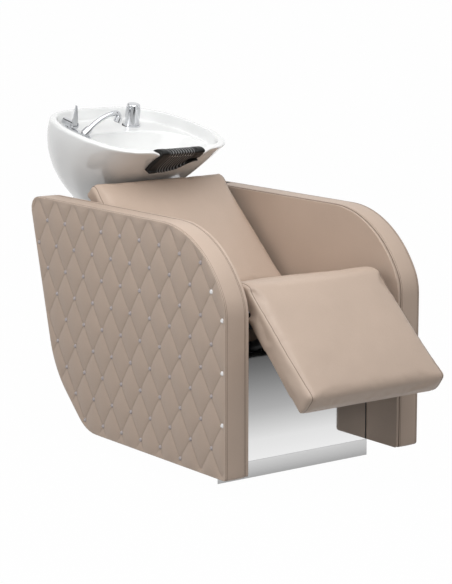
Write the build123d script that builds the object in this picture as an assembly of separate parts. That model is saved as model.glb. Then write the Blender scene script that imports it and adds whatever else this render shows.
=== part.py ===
from build123d import *
import math
import os

os.makedirs("parts", exist_ok=True)

# Salon backwash unit: an upholstered chair between two side panels, with a powered leg
# rest at the front and a tilting ceramic basin behind the headrest.
# Millimetres. X runs across, -Y towards the client's feet, +Z up. The origin is on the
# floor, at the centre of the four floor bolts. Right is the seated client's right: -X.

# Whole unit
overall_width = 720.0
panel_thickness = 80.0
base_depth = 490.0
base_recess = 140.0
plinth_height = 50.0
overrun = 2.0
running_gap = 0.05

# Side panel outline, seen from the side: corners of a polygon and their radii
panel_top = 748.0
panel_bottom = 50.0
front_bend_z = 546.0
front_bend_radius = 138.0
shoulder_y = 114.0
shoulder_radius = 332.0
top_rear_y = 1034.0
top_rear_radius = 38.0
rear_elbow_y = 901.0
rear_elbow_z = 218.0
rear_elbow_radius = 310.0
rear_foot_y = 721.0
rear_foot_radius = 135.0
panel_toe_radius = 5.0

# Side panel layers
pad_lip = 6.0
pad_depth = 18.0
pad_edge_radius = 4.0
band_thickness = 14.0

# Quilting of the outer faces
diamond_length = 101.5
diamond_height = 149.0
quilt_first_y = 19.5
quilt_first_z = 84.0
groove_depth = 3.0
groove_half_width = 3.5
crystal_radius = 5.0
crystal_height = 4.0
crystal_taper = 28.0
crystal_margin = 12.0

# Base frame
steel_plate = 4.0
tube_size = 30.0
floor_rail_width = 50.0
floor_rail_height = 30.0
floor_rail_wall = 3.0
floor_bolt_span_x = 360.0
floor_bolt_span_y = 400.0
floor_bolt_hole_radius = 5.5
sheet = 2.0
mirror_top = 365.0
mirror_flange = 22.0
sheet_clearance = 0.5
plinth_flange_half = 270.0
plate_front = 142.0
plate_rear = 620.0
plate_bottom = 56.0
plate_rear_top = 400.0
plate_shoulder = 190.0
plate_top = 500.0
plate_throat = 390.0
plate_corner_radius = 10.0
plate_hole_shares = (0.22, 0.52, 0.80)
plate_hole_radius = 58.0
plate_hole_z = 190.0
eye_plate_radius = 26.0
eye_setback = 22.0
cover_inset = 18.0
cover_front = 640.0
cover_bottom = 62.0
cover_top = 555.0
vent_rows = 5
vent_low = 330.0
vent_pitch = 18.0
vent_height = 7.0
vent_half = 90.0

# Seat and backrest
seat_half_width = 268.0
seat_front_y = 166.0
seat_front_top = 570.0
seat_length = 322.0
seat_slope = 13.3
seat_cushion_depth = 88.0
board_thickness = 15.0
seat_crown = 10.0
seat_front_radius = 26.0
seat_board_inset = 14.0
seat_rail_shares = (0.10, 0.84)
back_half_width = 256.0
back_foot_y = 500.0
back_foot_z = 488.5
back_slope = 42.0
back_length = 462.0
back_cushion_depth = 44.0
back_crown = 15.0
back_tuck = 16.0
back_top_radius = 34.0
back_board_start = 30.0
back_board_inset = 46.0
back_rail_shares = (0.22, 0.62)
cushion_radius = 14.0
cushion_waist = 4.0

# Leg rest, turning about a shaft in front of the seat
hinge_y = 80.0
hinge_z = 512.0
leg_slope = 43.4
leg_half_width = 250.0
leg_length = 372.0
leg_top = 77.5
leg_board_thickness = 12.0
leg_board_top = 35.5
drum_sweep = 150.0
leg_shaft_radius = 10.0
leg_arm_x = 205.0
leg_arm_thickness = 6.0
leg_arm_reach = 190.0
lever_length = 60.0
lever_mid_angle = 245.0
lever_lag = 4.0
lever_thickness = 10.0
lever_pin_radius = 5.0
lever_boss_wall = 6.0
lever_tip_radius = 11.0
leg_crown = 5.0
leg_arm_depth = 15.5
leg_shaft_end = 8.0
leg_board_inset = 7.0
nose_sheet = 2.0
nose_start = 10.0
nose_inset = 5.0

# Actuator of the leg rest
rod_slope = 25.0
rod_radius = 8.0
rod_ratio = 0.91
slot_play = 2.5
slot_travel = 16.0
slot_end_gap = 1.0
rod_head_wall = 6.0
fork_gap = 0.5
tube_start = 130.0
tube_length = 205.0
tube_radius = 18.0
tube_bore = 12.0
motor_radius = 26.0
motor_length = 120.0
motor_drop = 50.0
gearbox_length = 30.0
gearbox_half_width = 22.0
eye_reach = 26.0
eye_radius = 11.0
eye_thickness = 12.0
bracket_plate = 5.0
clevis_pin_radius = 5.0
rod_length = 230.0
head_block = 14.0
block_start = 30.0
gland_wall = 12.0
piston_radius = 11.5
piston_length = 14.0

# Basin: local Y runs back along the rim plane, local Z is square to it
rim_tilt = 10.11
basin_y = 900.0
basin_z = 933.7
basin_half_width = 250.0
basin_widest_share = 0.477
basin_front = 208.0
basin_rear = 333.0
basin_depth = 275.0
ceramic = 13.0
rim_width = 21.0
deck_drop = 38.0
bowl_half_width = 205.0
bowl_front = 150.0
bowl_rear = 150.0
bowl_depth = 172.0
drain_back = 85.0
drain_radius = 22.0
notch_half_width = 92.0
notch_depth = 13.0
pocket_draft = 4.0
pocket_front_draft = 34.0
rim_radius = 8.0
basin_loop_shares = ((0, -1), (0.39, -0.977), (0.724, -0.86), (0.956, -0.4225), (1, 0), (0.956, 0.438),
                     (0.824, 0.724), (0.552, 0.936), (0, 1))
skirt_shares = ((0, 1, -1, 1), (-0.109, 0.996, -0.865, 1.012), (-0.255, 0.964, -0.663, 1.021),
                (-0.4, 0.912, -0.462, 1.018), (-0.545, 0.836, -0.26, 1), (-0.691, 0.74, -0.087, 0.967),
                (-0.836, 0.628, 0.058, 0.901), (-0.909, 0.56, 0.12, 0.847), (-1, 0.472, 0.192, 0.766))
bowl_shares = ((-0.215, 1, -1, 1), (-0.465, 0.907, -0.707, 0.967), (-0.756, 0.712, -0.34, 0.92),
               (-0.959, 0.405, 0.067, 0.933), (-1, 0.195, 0.3, 0.833))

# Neck rest over the front lip of the basin
neck_half_width = 86.0
neck_reach = 216.0
neck_drop = 128.0
neck_shares = ((-0.741, -0.586), (-0.907, -0.234), (-1, 0.031), (-0.949, 0.094), (-0.824, 0.063),
               (-0.648, -0.234), (-0.519, -0.484))

# Fittings on the basin's deck
mixer_x = -142.0
barrel_radius = 13.0
barrel_start = 208.0
barrel_end = 262.0
barrel_lift = 18.0
hub_radius = 12.4
hub_length = 11.0
hub_gap = 0.2
blade_width = 19.0
blade_thickness = 5.0
blade_height = 66.0
blade_tip_share = 0.22
blade_pin_radius = 1.6
blade_pin_half = 11.0
bridge_width = 14.0
bridge_height = 5.2
tail_radius = 8.33
tail_length = 34.0
tail_neck_radius = 11.0
tail_spacing = 30.0
socket_x = -147.0
socket_back = 125.0
socket_flange_radius = 20.0
socket_flange = 4.0
knuckle_radius = 13.0
knuckle_lift = 17.0
knuckle_length = 24.0
ferrule_radius = 8.0
ferrule_collar = 4.0
ferrule_collar_radius = 11.0
ferrule_pin = 12.0
ferrule_pin_radius = 4.5
handset_pitch = 40.0
handset_run = 74.0
crown_pitch = 10.6
crown_run = 70.0
crown_bend_radius = 150.0
handset_radius = 8.5
head_angle = -109.0
head_run = 36.0
head_bend_radius = 13.0
head_radius = 12.5
head_length = 17.0
spray_radius = 9.5
spray_depth = 3.0
spray_proud = 1.0
breaker_x = 89.0
breaker_back = 217.0
breaker_radius = 24.5
breaker_flange_radius = 28.5
breaker_flange = 5.0
breaker_body_height = 56.0
breaker_cap_height = 14.0
breaker_cap_radius = 22.0
fitting_hole_radius = 9.0

# Basin mounting and waste
pivot_back = 100.0
pivot_drop = 310.0
pivot_pin_radius = 6.0
cradle_thickness = 4.0
cradle_half_width = 100.0
cradle_front = 62.0
cradle_rear = 240.0
cradle_ear_x = 82.0
cradle_ear_width = 44.0
ear_gap = 0.5
ear_thickness = 6.0
beam_y = 955.0
beam_z = 600.0
beam_size = 40.0
bush_wall = 2.5
waste_radius = 16.0
waste_wall = 2.5
waste_end_drop = 345.0
waste_flange_radius = 31.0
waste_flange = 3.0
waste_nut_radius = 34.0
waste_nut_height = 14.0
strainer_radius = 26.0
strainer_cup_radius = 12.0
strainer_depth = 16.0
strainer_sheet = 1.2
strainer_holes = 8
strainer_hole_ring = 7.0
strainer_hole_radius = 1.8

# Rocker switch in the left side panel's edge
switch_y = 930.0
switch_x = (overall_width - panel_thickness) / 2
switch_length = 44.0
switch_width = 22.0
switch_depth = 40.0
switch_bezel = 2.0
switch_wall = 2.0
rocker_tilt = 8.0
rocker_pin_radius = 1.5
rocker_gap = 0.8
rocker_foot_share = 0.6

# Control box and cable gland
control_x = -180.0
control_width = 80.0
control_depth = 60.0
control_height = 44.0
control_wall = 2.5
gland_z = 480.0
gland_x = 150.0
gland_radius = 9.0
gland_bore = 4.0
gland_length = 22.0
gland_nut_radius = 13.0
gland_nut = 6.0

# Fasteners
screw_radius = 3.0
screw_head_radius = 6.0
screw_head = 3.0
screw_length = 12.0
screw_inset = 14.0
screw_rows = (-160.0, 0.0, 70.0)

# Derived places: every y in the tables above is counted from the panels' front edge
base_front = -base_depth / 2
panel_front = base_front - base_recess
inner_face = overall_width / 2 - panel_thickness
frame_half = inner_face - steel_plate
rail_front = base_front + sheet
rod_run = Vector(0, math.cos(math.radians(rod_slope)), -math.sin(math.radians(rod_slope)))
rod_rise = Vector(0, math.sin(math.radians(rod_slope)), math.cos(math.radians(rod_slope)))


def back(distance):
    """Y of a place that lies this far behind the panels' front edge."""
    return panel_front + distance


lever_mid = math.radians(lever_mid_angle)
rod_reach = back(hinge_y) + lever_length * math.cos(lever_mid)
rod_middle = Vector(0, rod_reach, hinge_z + lever_length * math.sin(lever_mid))
rod_origin = rod_middle + rod_rise * (slot_travel / 2)
eye_place = rod_origin + rod_run * (tube_start + tube_length + eye_reach)
eye_y = eye_place.Y
eye_z = eye_place.Z


def slab(x0, x1, y0, y1, z0, z1):
    """Box between two corners."""
    middle = Pos((x0 + x1) / 2, (y0 + y1) / 2, (z0 + z1) / 2)
    return middle * Box(abs(x1 - x0), abs(y1 - y0), abs(z1 - z0))


def bar_x(radius, x0, x1, y, z):
    """Round bar along X."""
    return Pos((x0 + x1) / 2, y, z) * Rot(0, 90, 0) * Cylinder(radius, abs(x1 - x0))


def side_extrude(face, x0, x1):
    """Extrude a face drawn in (Y, Z) from x0 to x1."""
    return Pos(x0, 0, 0) * extrude(Plane.YZ * face, x1 - x0, dir=(1, 0, 0))


def group(parts):
    """Separate solids in one node."""
    return Compound(children=list(parts))


def other_side(part):
    """The same part on the client's left."""
    return mirror(part, about=Plane.YZ)


def rounded_face(corners):
    """Polygon face from (u, v, radius) corners."""
    face = make_face(Polyline(*[(u, v) for u, v, radius in corners], close=True))
    for u, v, radius in corners:
        if radius:
            face = fillet(face.vertices().sort_by_distance((u, v, 0))[0], radius)
    return face


def panel_face():
    """Outline of a side panel in (Y, Z)."""
    corners = [
        (0, panel_bottom, panel_toe_radius),
        (0, front_bend_z, front_bend_radius),
        (shoulder_y, panel_top, shoulder_radius),
        (top_rear_y, panel_top, top_rear_radius),
        (rear_elbow_y, rear_elbow_z, rear_elbow_radius),
        (rear_foot_y, panel_bottom, rear_foot_radius),
    ]
    return rounded_face([(back(y), z, radius) for y, z, radius in corners])


def quilt_rows():
    """Heights of the rows of crossings, with each row's sideways step."""
    count = int(2 * panel_top / diamond_height)
    rise = diamond_height / 2
    return [(quilt_first_z + rise * row, diamond_length / 2 * (row % 2)) for row in range(count)]


def quilt_points(face):
    """Crossings of the diamond stitching, in (Y, Z), that lie well inside the face."""
    inside = offset(face, amount=-crystal_margin).faces()[0]
    columns = int(top_rear_y / diamond_length) + 1
    points = []
    for z, step in quilt_rows():
        for column in range(columns):
            y = back(quilt_first_y) + step + diamond_length * column
            if inside.is_inside(Vector(y, z, 0)):
                points.append((y, z))
    return points


def groove(y, slope_sign, face_x):
    """V-shaped stitching channel along one diagonal, crossing the lowest row at y."""
    run = Vector(0, diamond_length, slope_sign * diamond_height).normalized()
    width = groove_half_width * (groove_depth + overrun) / groove_depth
    section = Polyline((groove_depth, 0), (-overrun, width), (-overrun, -width), close=True)
    plane = Plane(origin=(face_x, y, quilt_first_z), x_dir=(1, 0, 0), z_dir=run)
    return extrude(plane * make_face(section), top_rear_y, both=True)


def crystal_hexagon(radius, x, y, z):
    """Six-sided face on the outer pad, facing outwards."""
    return Plane(origin=(x, y, z), x_dir=(0, 1, 0), z_dir=(-1, 0, 0)) * RegularPolygon(radius, 6)


def outer_pad(face, core):
    """Quilted outer pad on the client's right, and the crystals that sit in it."""
    face_x = -overall_width / 2
    seat_x = face_x + groove_depth
    pad = side_extrude(face, face_x, face_x + pad_lip)
    pad = fillet(pad.faces().sort_by(Axis.X)[0].edges(), pad_edge_radius)
    pad += side_extrude(core, face_x + pad_lip, face_x + pad_depth)
    reach = int((top_rear_y + panel_top) / diamond_length) + 1
    columns = range(-reach, reach + 1)
    cuts = [groove(back(quilt_first_y) + column * diamond_length, sign, face_x)
            for column in columns for sign in (1, -1)]
    points = quilt_points(face)
    pocket_radius = crystal_radius + running_gap
    cuts += [extrude(crystal_hexagon(pocket_radius, seat_x, y, z), groove_depth + overrun)
             for y, z in points]
    crystals = [extrude(crystal_hexagon(crystal_radius, seat_x, y, z), crystal_height, taper=crystal_taper)
                for y, z in points]
    return pad.cut(*cuts), crystals


def side_panel():
    """Solids of the client's right side panel."""
    face = panel_face()
    core = offset(face, amount=-band_thickness)
    outer_x = -overall_width / 2
    inner_x = -inner_face
    pad, crystals = outer_pad(face, core)
    inner = side_extrude(face, inner_x - pad_lip, inner_x)
    inner = fillet(inner.faces().sort_by(Axis.X)[-1].edges(), pad_edge_radius)
    inner += side_extrude(core, inner_x - pad_depth, inner_x - pad_lip)
    band = side_extrude(face - core, outer_x + pad_lip, inner_x - pad_lip)
    board = side_extrude(core, outer_x + pad_depth, inner_x - pad_depth)
    return {"outer_pad": pad, "inner_pad": inner, "edge_band": band, "core": board,
            "crystals": group(crystals)}


def floor_rails():
    """Tubes on the floor, drilled through both walls for the floor bolts."""
    rails = []
    for side in (-1, 1):
        x = side * floor_bolt_span_x / 2
        half = floor_rail_width / 2
        rail = slab(x - half, x + half, rail_front, -base_front, 0, floor_rail_height)
        inner = half - floor_rail_wall
        roof = floor_rail_height - floor_rail_wall
        rail -= slab(x - inner, x + inner, rail_front - overrun, overrun - base_front,
                     floor_rail_wall, roof)
        for end in (-1, 1):
            hole = Pos(x, end * floor_bolt_span_y / 2, floor_rail_height / 2)
            rail -= hole * Cylinder(floor_bolt_hole_radius, floor_rail_height + 2 * overrun)
        rails.append(rail)
    return group(rails)


def tube_x(y0, y1, z0, z1, half_length):
    """Rectangular tube across the unit."""
    outer = slab(-half_length, half_length, y0, y1, z0, z1)
    wall = floor_rail_wall
    return outer - slab(-half_length, half_length, y0 + wall, y1 - wall, z0 + wall, z1 - wall)


def cross_rails():
    """Three tubes across the base; the middle one carries the actuator."""
    z0 = floor_rail_height
    front = tube_x(rail_front, rail_front + tube_size, z0, z0 + tube_size, frame_half)
    rear = tube_x(-base_front - tube_size, -base_front, z0, z0 + tube_size, frame_half)
    middle = tube_x(eye_y + eye_setback, eye_y + eye_setback + tube_size, eye_z - tube_size / 2,
                    eye_z + tube_size / 2, frame_half)
    return group([front, rear, middle])


def frame_side():
    """Steel side plate on the client's right, with lightening holes and the hinge's eye."""
    corners = [
        (plate_front, plate_bottom, plate_corner_radius),
        (plate_rear, plate_bottom, plate_corner_radius),
        (plate_rear, plate_rear_top, plate_corner_radius),
        (plate_shoulder, plate_top, plate_corner_radius),
        (hinge_y + eye_plate_radius, hinge_z + eye_plate_radius, eye_plate_radius),
        (hinge_y - eye_plate_radius, hinge_z + eye_plate_radius, eye_plate_radius - overrun),
        (hinge_y - eye_plate_radius, hinge_z - eye_plate_radius, eye_plate_radius - overrun),
        (plate_front, plate_throat, plate_corner_radius),
    ]
    face = rounded_face([(back(y), z, radius) for y, z, radius in corners])
    plate = side_extrude(face, -inner_face, -frame_half)
    for share in plate_hole_shares:
        y = back(plate_front + share * (plate_rear - plate_front))
        plate -= bar_x(plate_hole_radius, -inner_face - overrun, -frame_half + overrun, y, plate_hole_z)
    bush_radius = leg_shaft_radius + running_gap + bush_wall + running_gap
    return plate - bar_x(bush_radius, -inner_face - overrun, -frame_half + overrun, back(hinge_y), hinge_z)


def bush(x_flange, x_end, pin_radius, y, z):
    """Flanged bush on an X axis; its flange lies at x_flange."""
    step = math.copysign(bush_wall, x_flange - x_end)
    bore = pin_radius + running_gap
    outer = bar_x(bore + bush_wall, x_flange, x_end, y, z)
    outer += bar_x(bore + 2 * bush_wall, x_flange, x_flange + step, y, z)
    far = x_flange + 2 * step
    return outer - bar_x(bore, far, x_end - step, y, z)


def hinge_bushes():
    """Nylon bushes of the leg rest's shaft."""
    right = bush(-frame_half, -inner_face, leg_shaft_radius, back(hinge_y), hinge_z)
    return group([right, other_side(right)])


def front_panel():
    """Polished sheet between the side panels, folded back along its top and bottom."""
    half = inner_face - sheet_clearance
    panel = slab(-half, half, base_front, base_front + sheet, plinth_height, mirror_top)
    for z in (floor_rail_height + tube_size, mirror_top - sheet):
        panel += slab(-plinth_flange_half, plinth_flange_half, base_front,
                      base_front + mirror_flange, z, z + sheet)
    return panel


def kick_plinth():
    """Brushed strip along the floor in front of the rails."""
    half = inner_face - sheet_clearance
    strip = slab(-half, half, base_front, base_front + sheet, 0, plinth_height - sheet_clearance)
    return strip


def local_box(plane, u0, u1, v0, v1, half_width):
    """Box across the unit between two (u, v) corners of the plane."""
    face = make_face(Polyline((u0, v0), (u1, v0), (u1, v1), (u0, v1), close=True))
    return extrude(plane * face, half_width, both=True)


def arch_face(half_width, bottom, shoulder, top, radius):
    """Cushion's cross section: flat below, crowned above, rounded at its two upper corners."""
    face = make_face([
        Line((-half_width, bottom), (half_width, bottom)),
        Line((half_width, bottom), (half_width, shoulder)),
        ThreePointArc((half_width, shoulder), (0, top), (-half_width, shoulder)),
        Line((-half_width, shoulder), (-half_width, bottom)),
    ])
    for x in (-half_width, half_width):
        face = fillet(face.vertices().sort_by_distance((x, shoulder, 0))[0], radius)
    return face


def arch_body(plane, face, u0, u1):
    """Extrude an (x, v) face along the plane's x from u0 to u1."""
    start = plane.from_local_coords(Vector(u0, 0, 0))
    section = Plane(origin=start, x_dir=(1, 0, 0), z_dir=plane.x_dir)
    if section.y_dir.dot(plane.y_dir) < 0:
        section = Plane(origin=start, x_dir=(-1, 0, 0), z_dir=plane.x_dir)
    return extrude(section * face, u1 - u0)


def waisted_face(u0, u1, half_width, waist, radius):
    """Cushion's plan: straight ends, sides drawn in by the waist, rounded corners."""
    middle = (u0 + u1) / 2
    face = make_face([
        Line((u0, -half_width), (u0, half_width)),
        ThreePointArc((u0, half_width), (middle, half_width - waist), (u1, half_width)),
        Line((u1, half_width), (u1, -half_width)),
        ThreePointArc((u1, -half_width), (middle, -half_width + waist), (u0, -half_width)),
    ])
    for u in (u0, u1):
        for x in (-half_width, half_width):
            face = fillet(face.vertices().sort_by_distance((u, x, 0))[0], radius)
    return face


def pad(plane, corners, half_width, top, crown):
    """Crowned cushion with drawn-in sides from its side profile's (u, v, radius) corners.

    The plane's x runs along the cushion, its y is square to it and its z lies across the unit.
    """
    us = [corner[0] for corner in corners]
    bottom = min(corner[1] for corner in corners)
    body = extrude(plane * rounded_face(corners), half_width + overrun, both=True)
    arch = arch_face(half_width, bottom - overrun, top - crown, top, cushion_radius)
    body &= arch_body(plane, arch, min(us) - overrun, max(us) + overrun)
    plan = waisted_face(min(us), max(us), half_width, cushion_waist, cushion_radius)
    start = plane.from_local_coords(Vector(0, bottom - overrun, 0))
    level = Plane(origin=start, x_dir=plane.x_dir, z_dir=plane.y_dir)
    return body & extrude(level * plan, top - bottom + 2 * overrun)


def seat():
    """Seat cushion, its board and the two tubes under it, falling towards the back."""
    slope = math.radians(seat_slope)
    plane = Plane(origin=(0, back(seat_front_y), seat_front_top),
                  x_dir=(0, math.cos(slope), -math.sin(slope)), z_dir=(1, 0, 0))
    lean = seat_cushion_depth * math.tan(slope)
    corners = [
        (0, 0, seat_front_radius),
        (seat_length, 0, cushion_radius),
        (seat_length, -seat_cushion_depth, 0),
        (lean, -seat_cushion_depth, 0),
    ]
    cushion = pad(plane, corners, seat_half_width, 0, seat_crown)
    board_top = -seat_cushion_depth
    under = board_top - board_thickness
    board = local_box(plane, lean + seat_board_inset, seat_length, under, board_top, seat_half_width)
    rails = []
    for share in seat_rail_shares:
        u = share * seat_length
        rails.append(slanted_tube(plane, u, under - tube_size, frame_half))
    return {"seat_cushion": cushion, "seat_board": board, "seat_rails": group(rails)}


def slanted_tube(plane, u, v, half_width):
    """Square tube across the unit, in the plane's slope, from its lower front corner."""
    wall = floor_rail_wall
    outer = local_box(plane, u, u + tube_size, v, v + tube_size, half_width)
    inner = tube_size - wall
    return outer - local_box(plane, u + wall, u + inner, v + wall, v + inner, half_width)


def backrest():
    """Backrest cushion, its board and the two tubes that hold it between the side panels."""
    slope = math.radians(back_slope)
    plane = Plane(origin=(0, back(back_foot_y), back_foot_z),
                  x_dir=(0, math.cos(slope), math.sin(slope)), z_dir=(1, 0, 0))
    corners = [
        (-back_tuck, back_crown, cushion_radius),
        (back_length, back_crown, back_top_radius),
        (back_length, -back_cushion_depth, 0),
        (-back_tuck, -back_cushion_depth, 0),
    ]
    cushion = pad(plane, corners, back_half_width, back_crown, back_crown)
    top = -back_cushion_depth
    under = top - board_thickness
    board = local_box(plane, back_board_start, back_length - back_board_inset, under, top,
                      back_half_width - board_thickness)
    low = under - tube_size
    rails = [slanted_tube(plane, share * back_length, low, inner_face) for share in back_rail_shares]
    return {"backrest_cushion": cushion, "backrest_board": board, "backrest_rails": group(rails)}


def rear_cover():
    """Sheet cover behind the chair, following the side panels' rear edge, with vent slots."""
    face = panel_face()
    strip = offset(face, amount=-cover_inset) - offset(face, amount=-cover_inset - sheet)
    window = make_face(Polyline((back(cover_front), cover_bottom), (back(top_rear_y), cover_bottom),
                                (back(top_rear_y), cover_top), (back(cover_front), cover_top), close=True))
    strip = strip & window
    half = inner_face - sheet_clearance
    cover = side_extrude(strip, -half, half)
    slots = []
    for row in range(vent_rows):
        z = vent_low + row * vent_pitch
        slots.append(slab(-vent_half, vent_half, back(rear_foot_y), back(top_rear_y), z, z + vent_height))
    start, run = gland_line()
    hole = Plane(origin=start - run * cover_inset, z_dir=run) * Circle(gland_radius)
    slots.append(extrude(hole, 2 * cover_inset))
    return cover.cut(*slots, *cover_screws())


def leg_plane():
    """Leg rest's own plane: x runs down the leg rest from the shaft, y out of its face."""
    slope = math.radians(leg_slope)
    return Plane(origin=(0, back(hinge_y), hinge_z), x_dir=(0, -math.cos(slope), -math.sin(slope)),
                 z_dir=(-1, 0, 0))


def polar(radius, angle):
    """Point at a radius and an angle in degrees."""
    return (radius * math.cos(math.radians(angle)), radius * math.sin(math.radians(angle)))


def drum_strip(inner, outer, start, end):
    """Ring sector about the shaft."""
    middle = (start + end) / 2
    return make_face([
        ThreePointArc(polar(outer, start), polar(outer, middle), polar(outer, end)),
        Line(polar(outer, end), polar(inner, end)),
        ThreePointArc(polar(inner, end), polar(inner, middle), polar(inner, start)),
        Line(polar(inner, start), polar(outer, start)),
    ])


def leg_cushion():
    """Leg rest's pad, which runs back over a drum about the shaft to close the gap to the seat."""
    plane = leg_plane()
    quarter = 90.0
    middle = quarter + drum_sweep / 2
    end = quarter + drum_sweep
    face = make_face([
        ThreePointArc(polar(leg_top, quarter), polar(leg_top, middle), polar(leg_top, end)),
        Line(polar(leg_top, end), polar(leg_board_top, end)),
        ThreePointArc(polar(leg_board_top, end), polar(leg_board_top, middle),
                      polar(leg_board_top, quarter)),
        Line((0, leg_board_top), (leg_length, leg_board_top)),
        Line((leg_length, leg_board_top), (leg_length, leg_top)),
        Line((leg_length, leg_top), (0, leg_top)),
    ])
    face = fillet(face.vertices().sort_by_distance((leg_length, leg_top, 0))[0], cushion_radius)
    body = extrude(plane * face, leg_half_width, both=True)
    outline = [edge for edge in body.faces().filter_by(Axis.X).edges()
               if plane.to_local_coords(edge.center()).Y > leg_board_top + overrun
               or plane.to_local_coords(edge.center()).X < -leg_board_top]
    body = fillet(outline, cushion_radius - overrun)
    reach = leg_top + overrun
    arch = arch_face(leg_half_width, -leg_top, leg_top - leg_crown, leg_top, cushion_radius / 2)
    return body & arch_body(plane, arch, -reach, leg_length + overrun)


def leg_frame():
    """Leg rest's two arms, the sheet that backs the drum and the lever that the rod pushes."""
    plane = leg_plane()
    disc = leg_board_top - nose_sheet
    quarter = 90.0
    end = quarter + drum_sweep
    under = leg_board_top - leg_board_thickness
    arm_face = make_face(Circle(disc).edges()) + make_face(Polyline(
        (0, under - leg_arm_depth), (leg_arm_reach, under - leg_arm_depth + overrun),
        (leg_arm_reach, under), (0, under), close=True))
    arm_face -= Circle(leg_shaft_radius)
    board_corners = [(0, under), (leg_top, under), (leg_top, leg_top), (0, leg_top)]
    arm_face -= make_face(Polyline(board_corners, close=True))
    frame = None
    for side in (-1, 1):
        x = side * leg_arm_x
        arm = Pos(x, 0, 0) * extrude(plane * arm_face, leg_arm_thickness / 2, both=True)
        frame = arm if frame is None else frame + arm
    nose = drum_strip(disc, leg_board_top, quarter + nose_start, end)
    frame += extrude(plane * nose, leg_half_width - nose_inset, both=True)
    return frame


def leg_lever():
    """Lever on the middle of the shaft, with the pin that works in the rod's fork."""
    angle = lever_mid_angle - lever_lag
    tip_y, tip_z = polar(lever_length, angle)
    bar = make_face(Circle(leg_shaft_radius + lever_boss_wall).edges())
    normal_y, normal_z = polar(leg_shaft_radius, angle + 90.0)
    share = lever_tip_radius / leg_shaft_radius
    blade = make_face(Polyline((normal_y, normal_z), (-normal_y, -normal_z),
                               (tip_y - share * normal_y, tip_z - share * normal_z),
                               (tip_y + share * normal_y, tip_z + share * normal_z), close=True))
    tip = Pos(tip_y, tip_z) * Circle(lever_tip_radius)
    face = bar + blade + tip
    face -= Circle(leg_shaft_radius)
    place = Pos(0, back(hinge_y), hinge_z)
    lever = place * side_extrude(face, -lever_thickness / 2, lever_thickness / 2)
    pin_half = lever_thickness / 2 + fork_gap + rod_head_wall
    return lever + place * bar_x(lever_pin_radius, -pin_half, pin_half, tip_y, tip_z)


def leg_rest():
    """Everything that turns with the leg rest."""
    plane = leg_plane()
    shaft_half = inner_face - leg_shaft_end
    shaft = bar_x(leg_shaft_radius, -shaft_half, shaft_half, back(hinge_y), hinge_z)
    under = leg_board_top - leg_board_thickness
    board_half = leg_half_width - nose_inset
    board = local_box(plane, 0, leg_length - leg_board_inset, under, leg_board_top, board_half)
    return {"legrest_cushion": leg_cushion(), "legrest_board": board, "legrest_frame": leg_frame(),
            "legrest_lever": leg_lever(), "legrest_shaft": shaft}


def rod_plane(offset_u=0.0):
    """Plane whose x runs along the rod, y up across it and z along X."""
    return Plane(origin=rod_origin + rod_run * offset_u, x_dir=rod_run, z_dir=rod_run.cross(rod_rise))


def rod_round(radius, u0, u1, v=0.0):
    """Round bar along the rod's line, v above it."""
    start = rod_origin + rod_run * u0 + rod_rise * v
    return extrude(Plane(origin=start, z_dir=rod_run) * Circle(radius), u1 - u0)


def actuator_rod():
    """Push rod: a slotted fork over the lever's pin, the rod and its piston."""
    at = -rod_ratio * lever_length * math.radians(lever_lag)
    plane = rod_plane(at)
    half = lever_thickness / 2 + fork_gap
    outer = half + rod_head_wall
    slot_half = lever_pin_radius + slot_play
    low = -slot_travel / 2 - lever_pin_radius - slot_end_gap
    high = slot_travel / 2 + lever_pin_radius + slot_end_gap
    wall = rod_head_wall
    nose = -slot_half - wall
    head_end = block_start + head_block
    corners = [(nose, low - wall), (head_end, low - wall), (head_end, high + wall), (nose, high + wall)]
    side = make_face(Polyline(corners, close=True))
    head = extrude(plane * side, outer, both=True)
    under = low - wall - overrun
    over = high + wall + overrun
    corners = [(nose - overrun, under), (block_start, under), (block_start, over), (nose - overrun, over)]
    gap = make_face(Polyline(corners, close=True))
    head -= extrude(plane * gap, half, both=True)
    corners = [(-slot_half, low), (slot_half, low), (slot_half, high), (-slot_half, high)]
    slot = make_face(Polyline(corners, close=True))
    head -= extrude(plane * slot, outer + overrun, both=True)
    rod = rod_round(rod_radius, at + block_start + head_block - overrun, at + rod_length)
    piston = rod_round(piston_radius, at + rod_length - piston_length, at + rod_length)
    return head + rod + piston


def actuator_housing():
    """Guide tube with its gland, the gearbox behind it and the rear eye."""
    end = tube_start + tube_length
    tube = rod_round(tube_radius, tube_start, end)
    tube -= rod_round(tube_bore, tube_start + gland_wall, end - gearbox_length)
    tube -= rod_round(rod_radius + running_gap, tube_start - overrun, tube_start + gland_wall + overrun)
    plane = rod_plane()
    low = -motor_drop - motor_radius
    box = make_face(Polyline((end - gearbox_length, low), (end, low), (end, tube_radius),
                             (end - gearbox_length, tube_radius), close=True))
    housing = tube + extrude(plane * box, gearbox_half_width, both=True)
    eye = end + eye_reach
    corners = [(end, -eye_radius), (eye, -eye_radius), (eye, eye_radius), (end, eye_radius)]
    lug = make_face(Polyline(corners, close=True))
    lug += Pos(end + eye_reach, 0) * Circle(eye_radius)
    lug -= Pos(end + eye_reach, 0) * Circle(clevis_pin_radius)
    return housing + extrude(plane * lug, eye_thickness / 2, both=True)


def actuator_motor():
    """Motor under the guide tube, with its end cap."""
    start = tube_start + tube_length - gearbox_length - motor_length
    motor = rod_round(motor_radius, start, start + motor_length, -motor_drop)
    cap = motor_radius - rod_head_wall
    return motor + rod_round(cap, start - head_block, start, -motor_drop)


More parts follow.
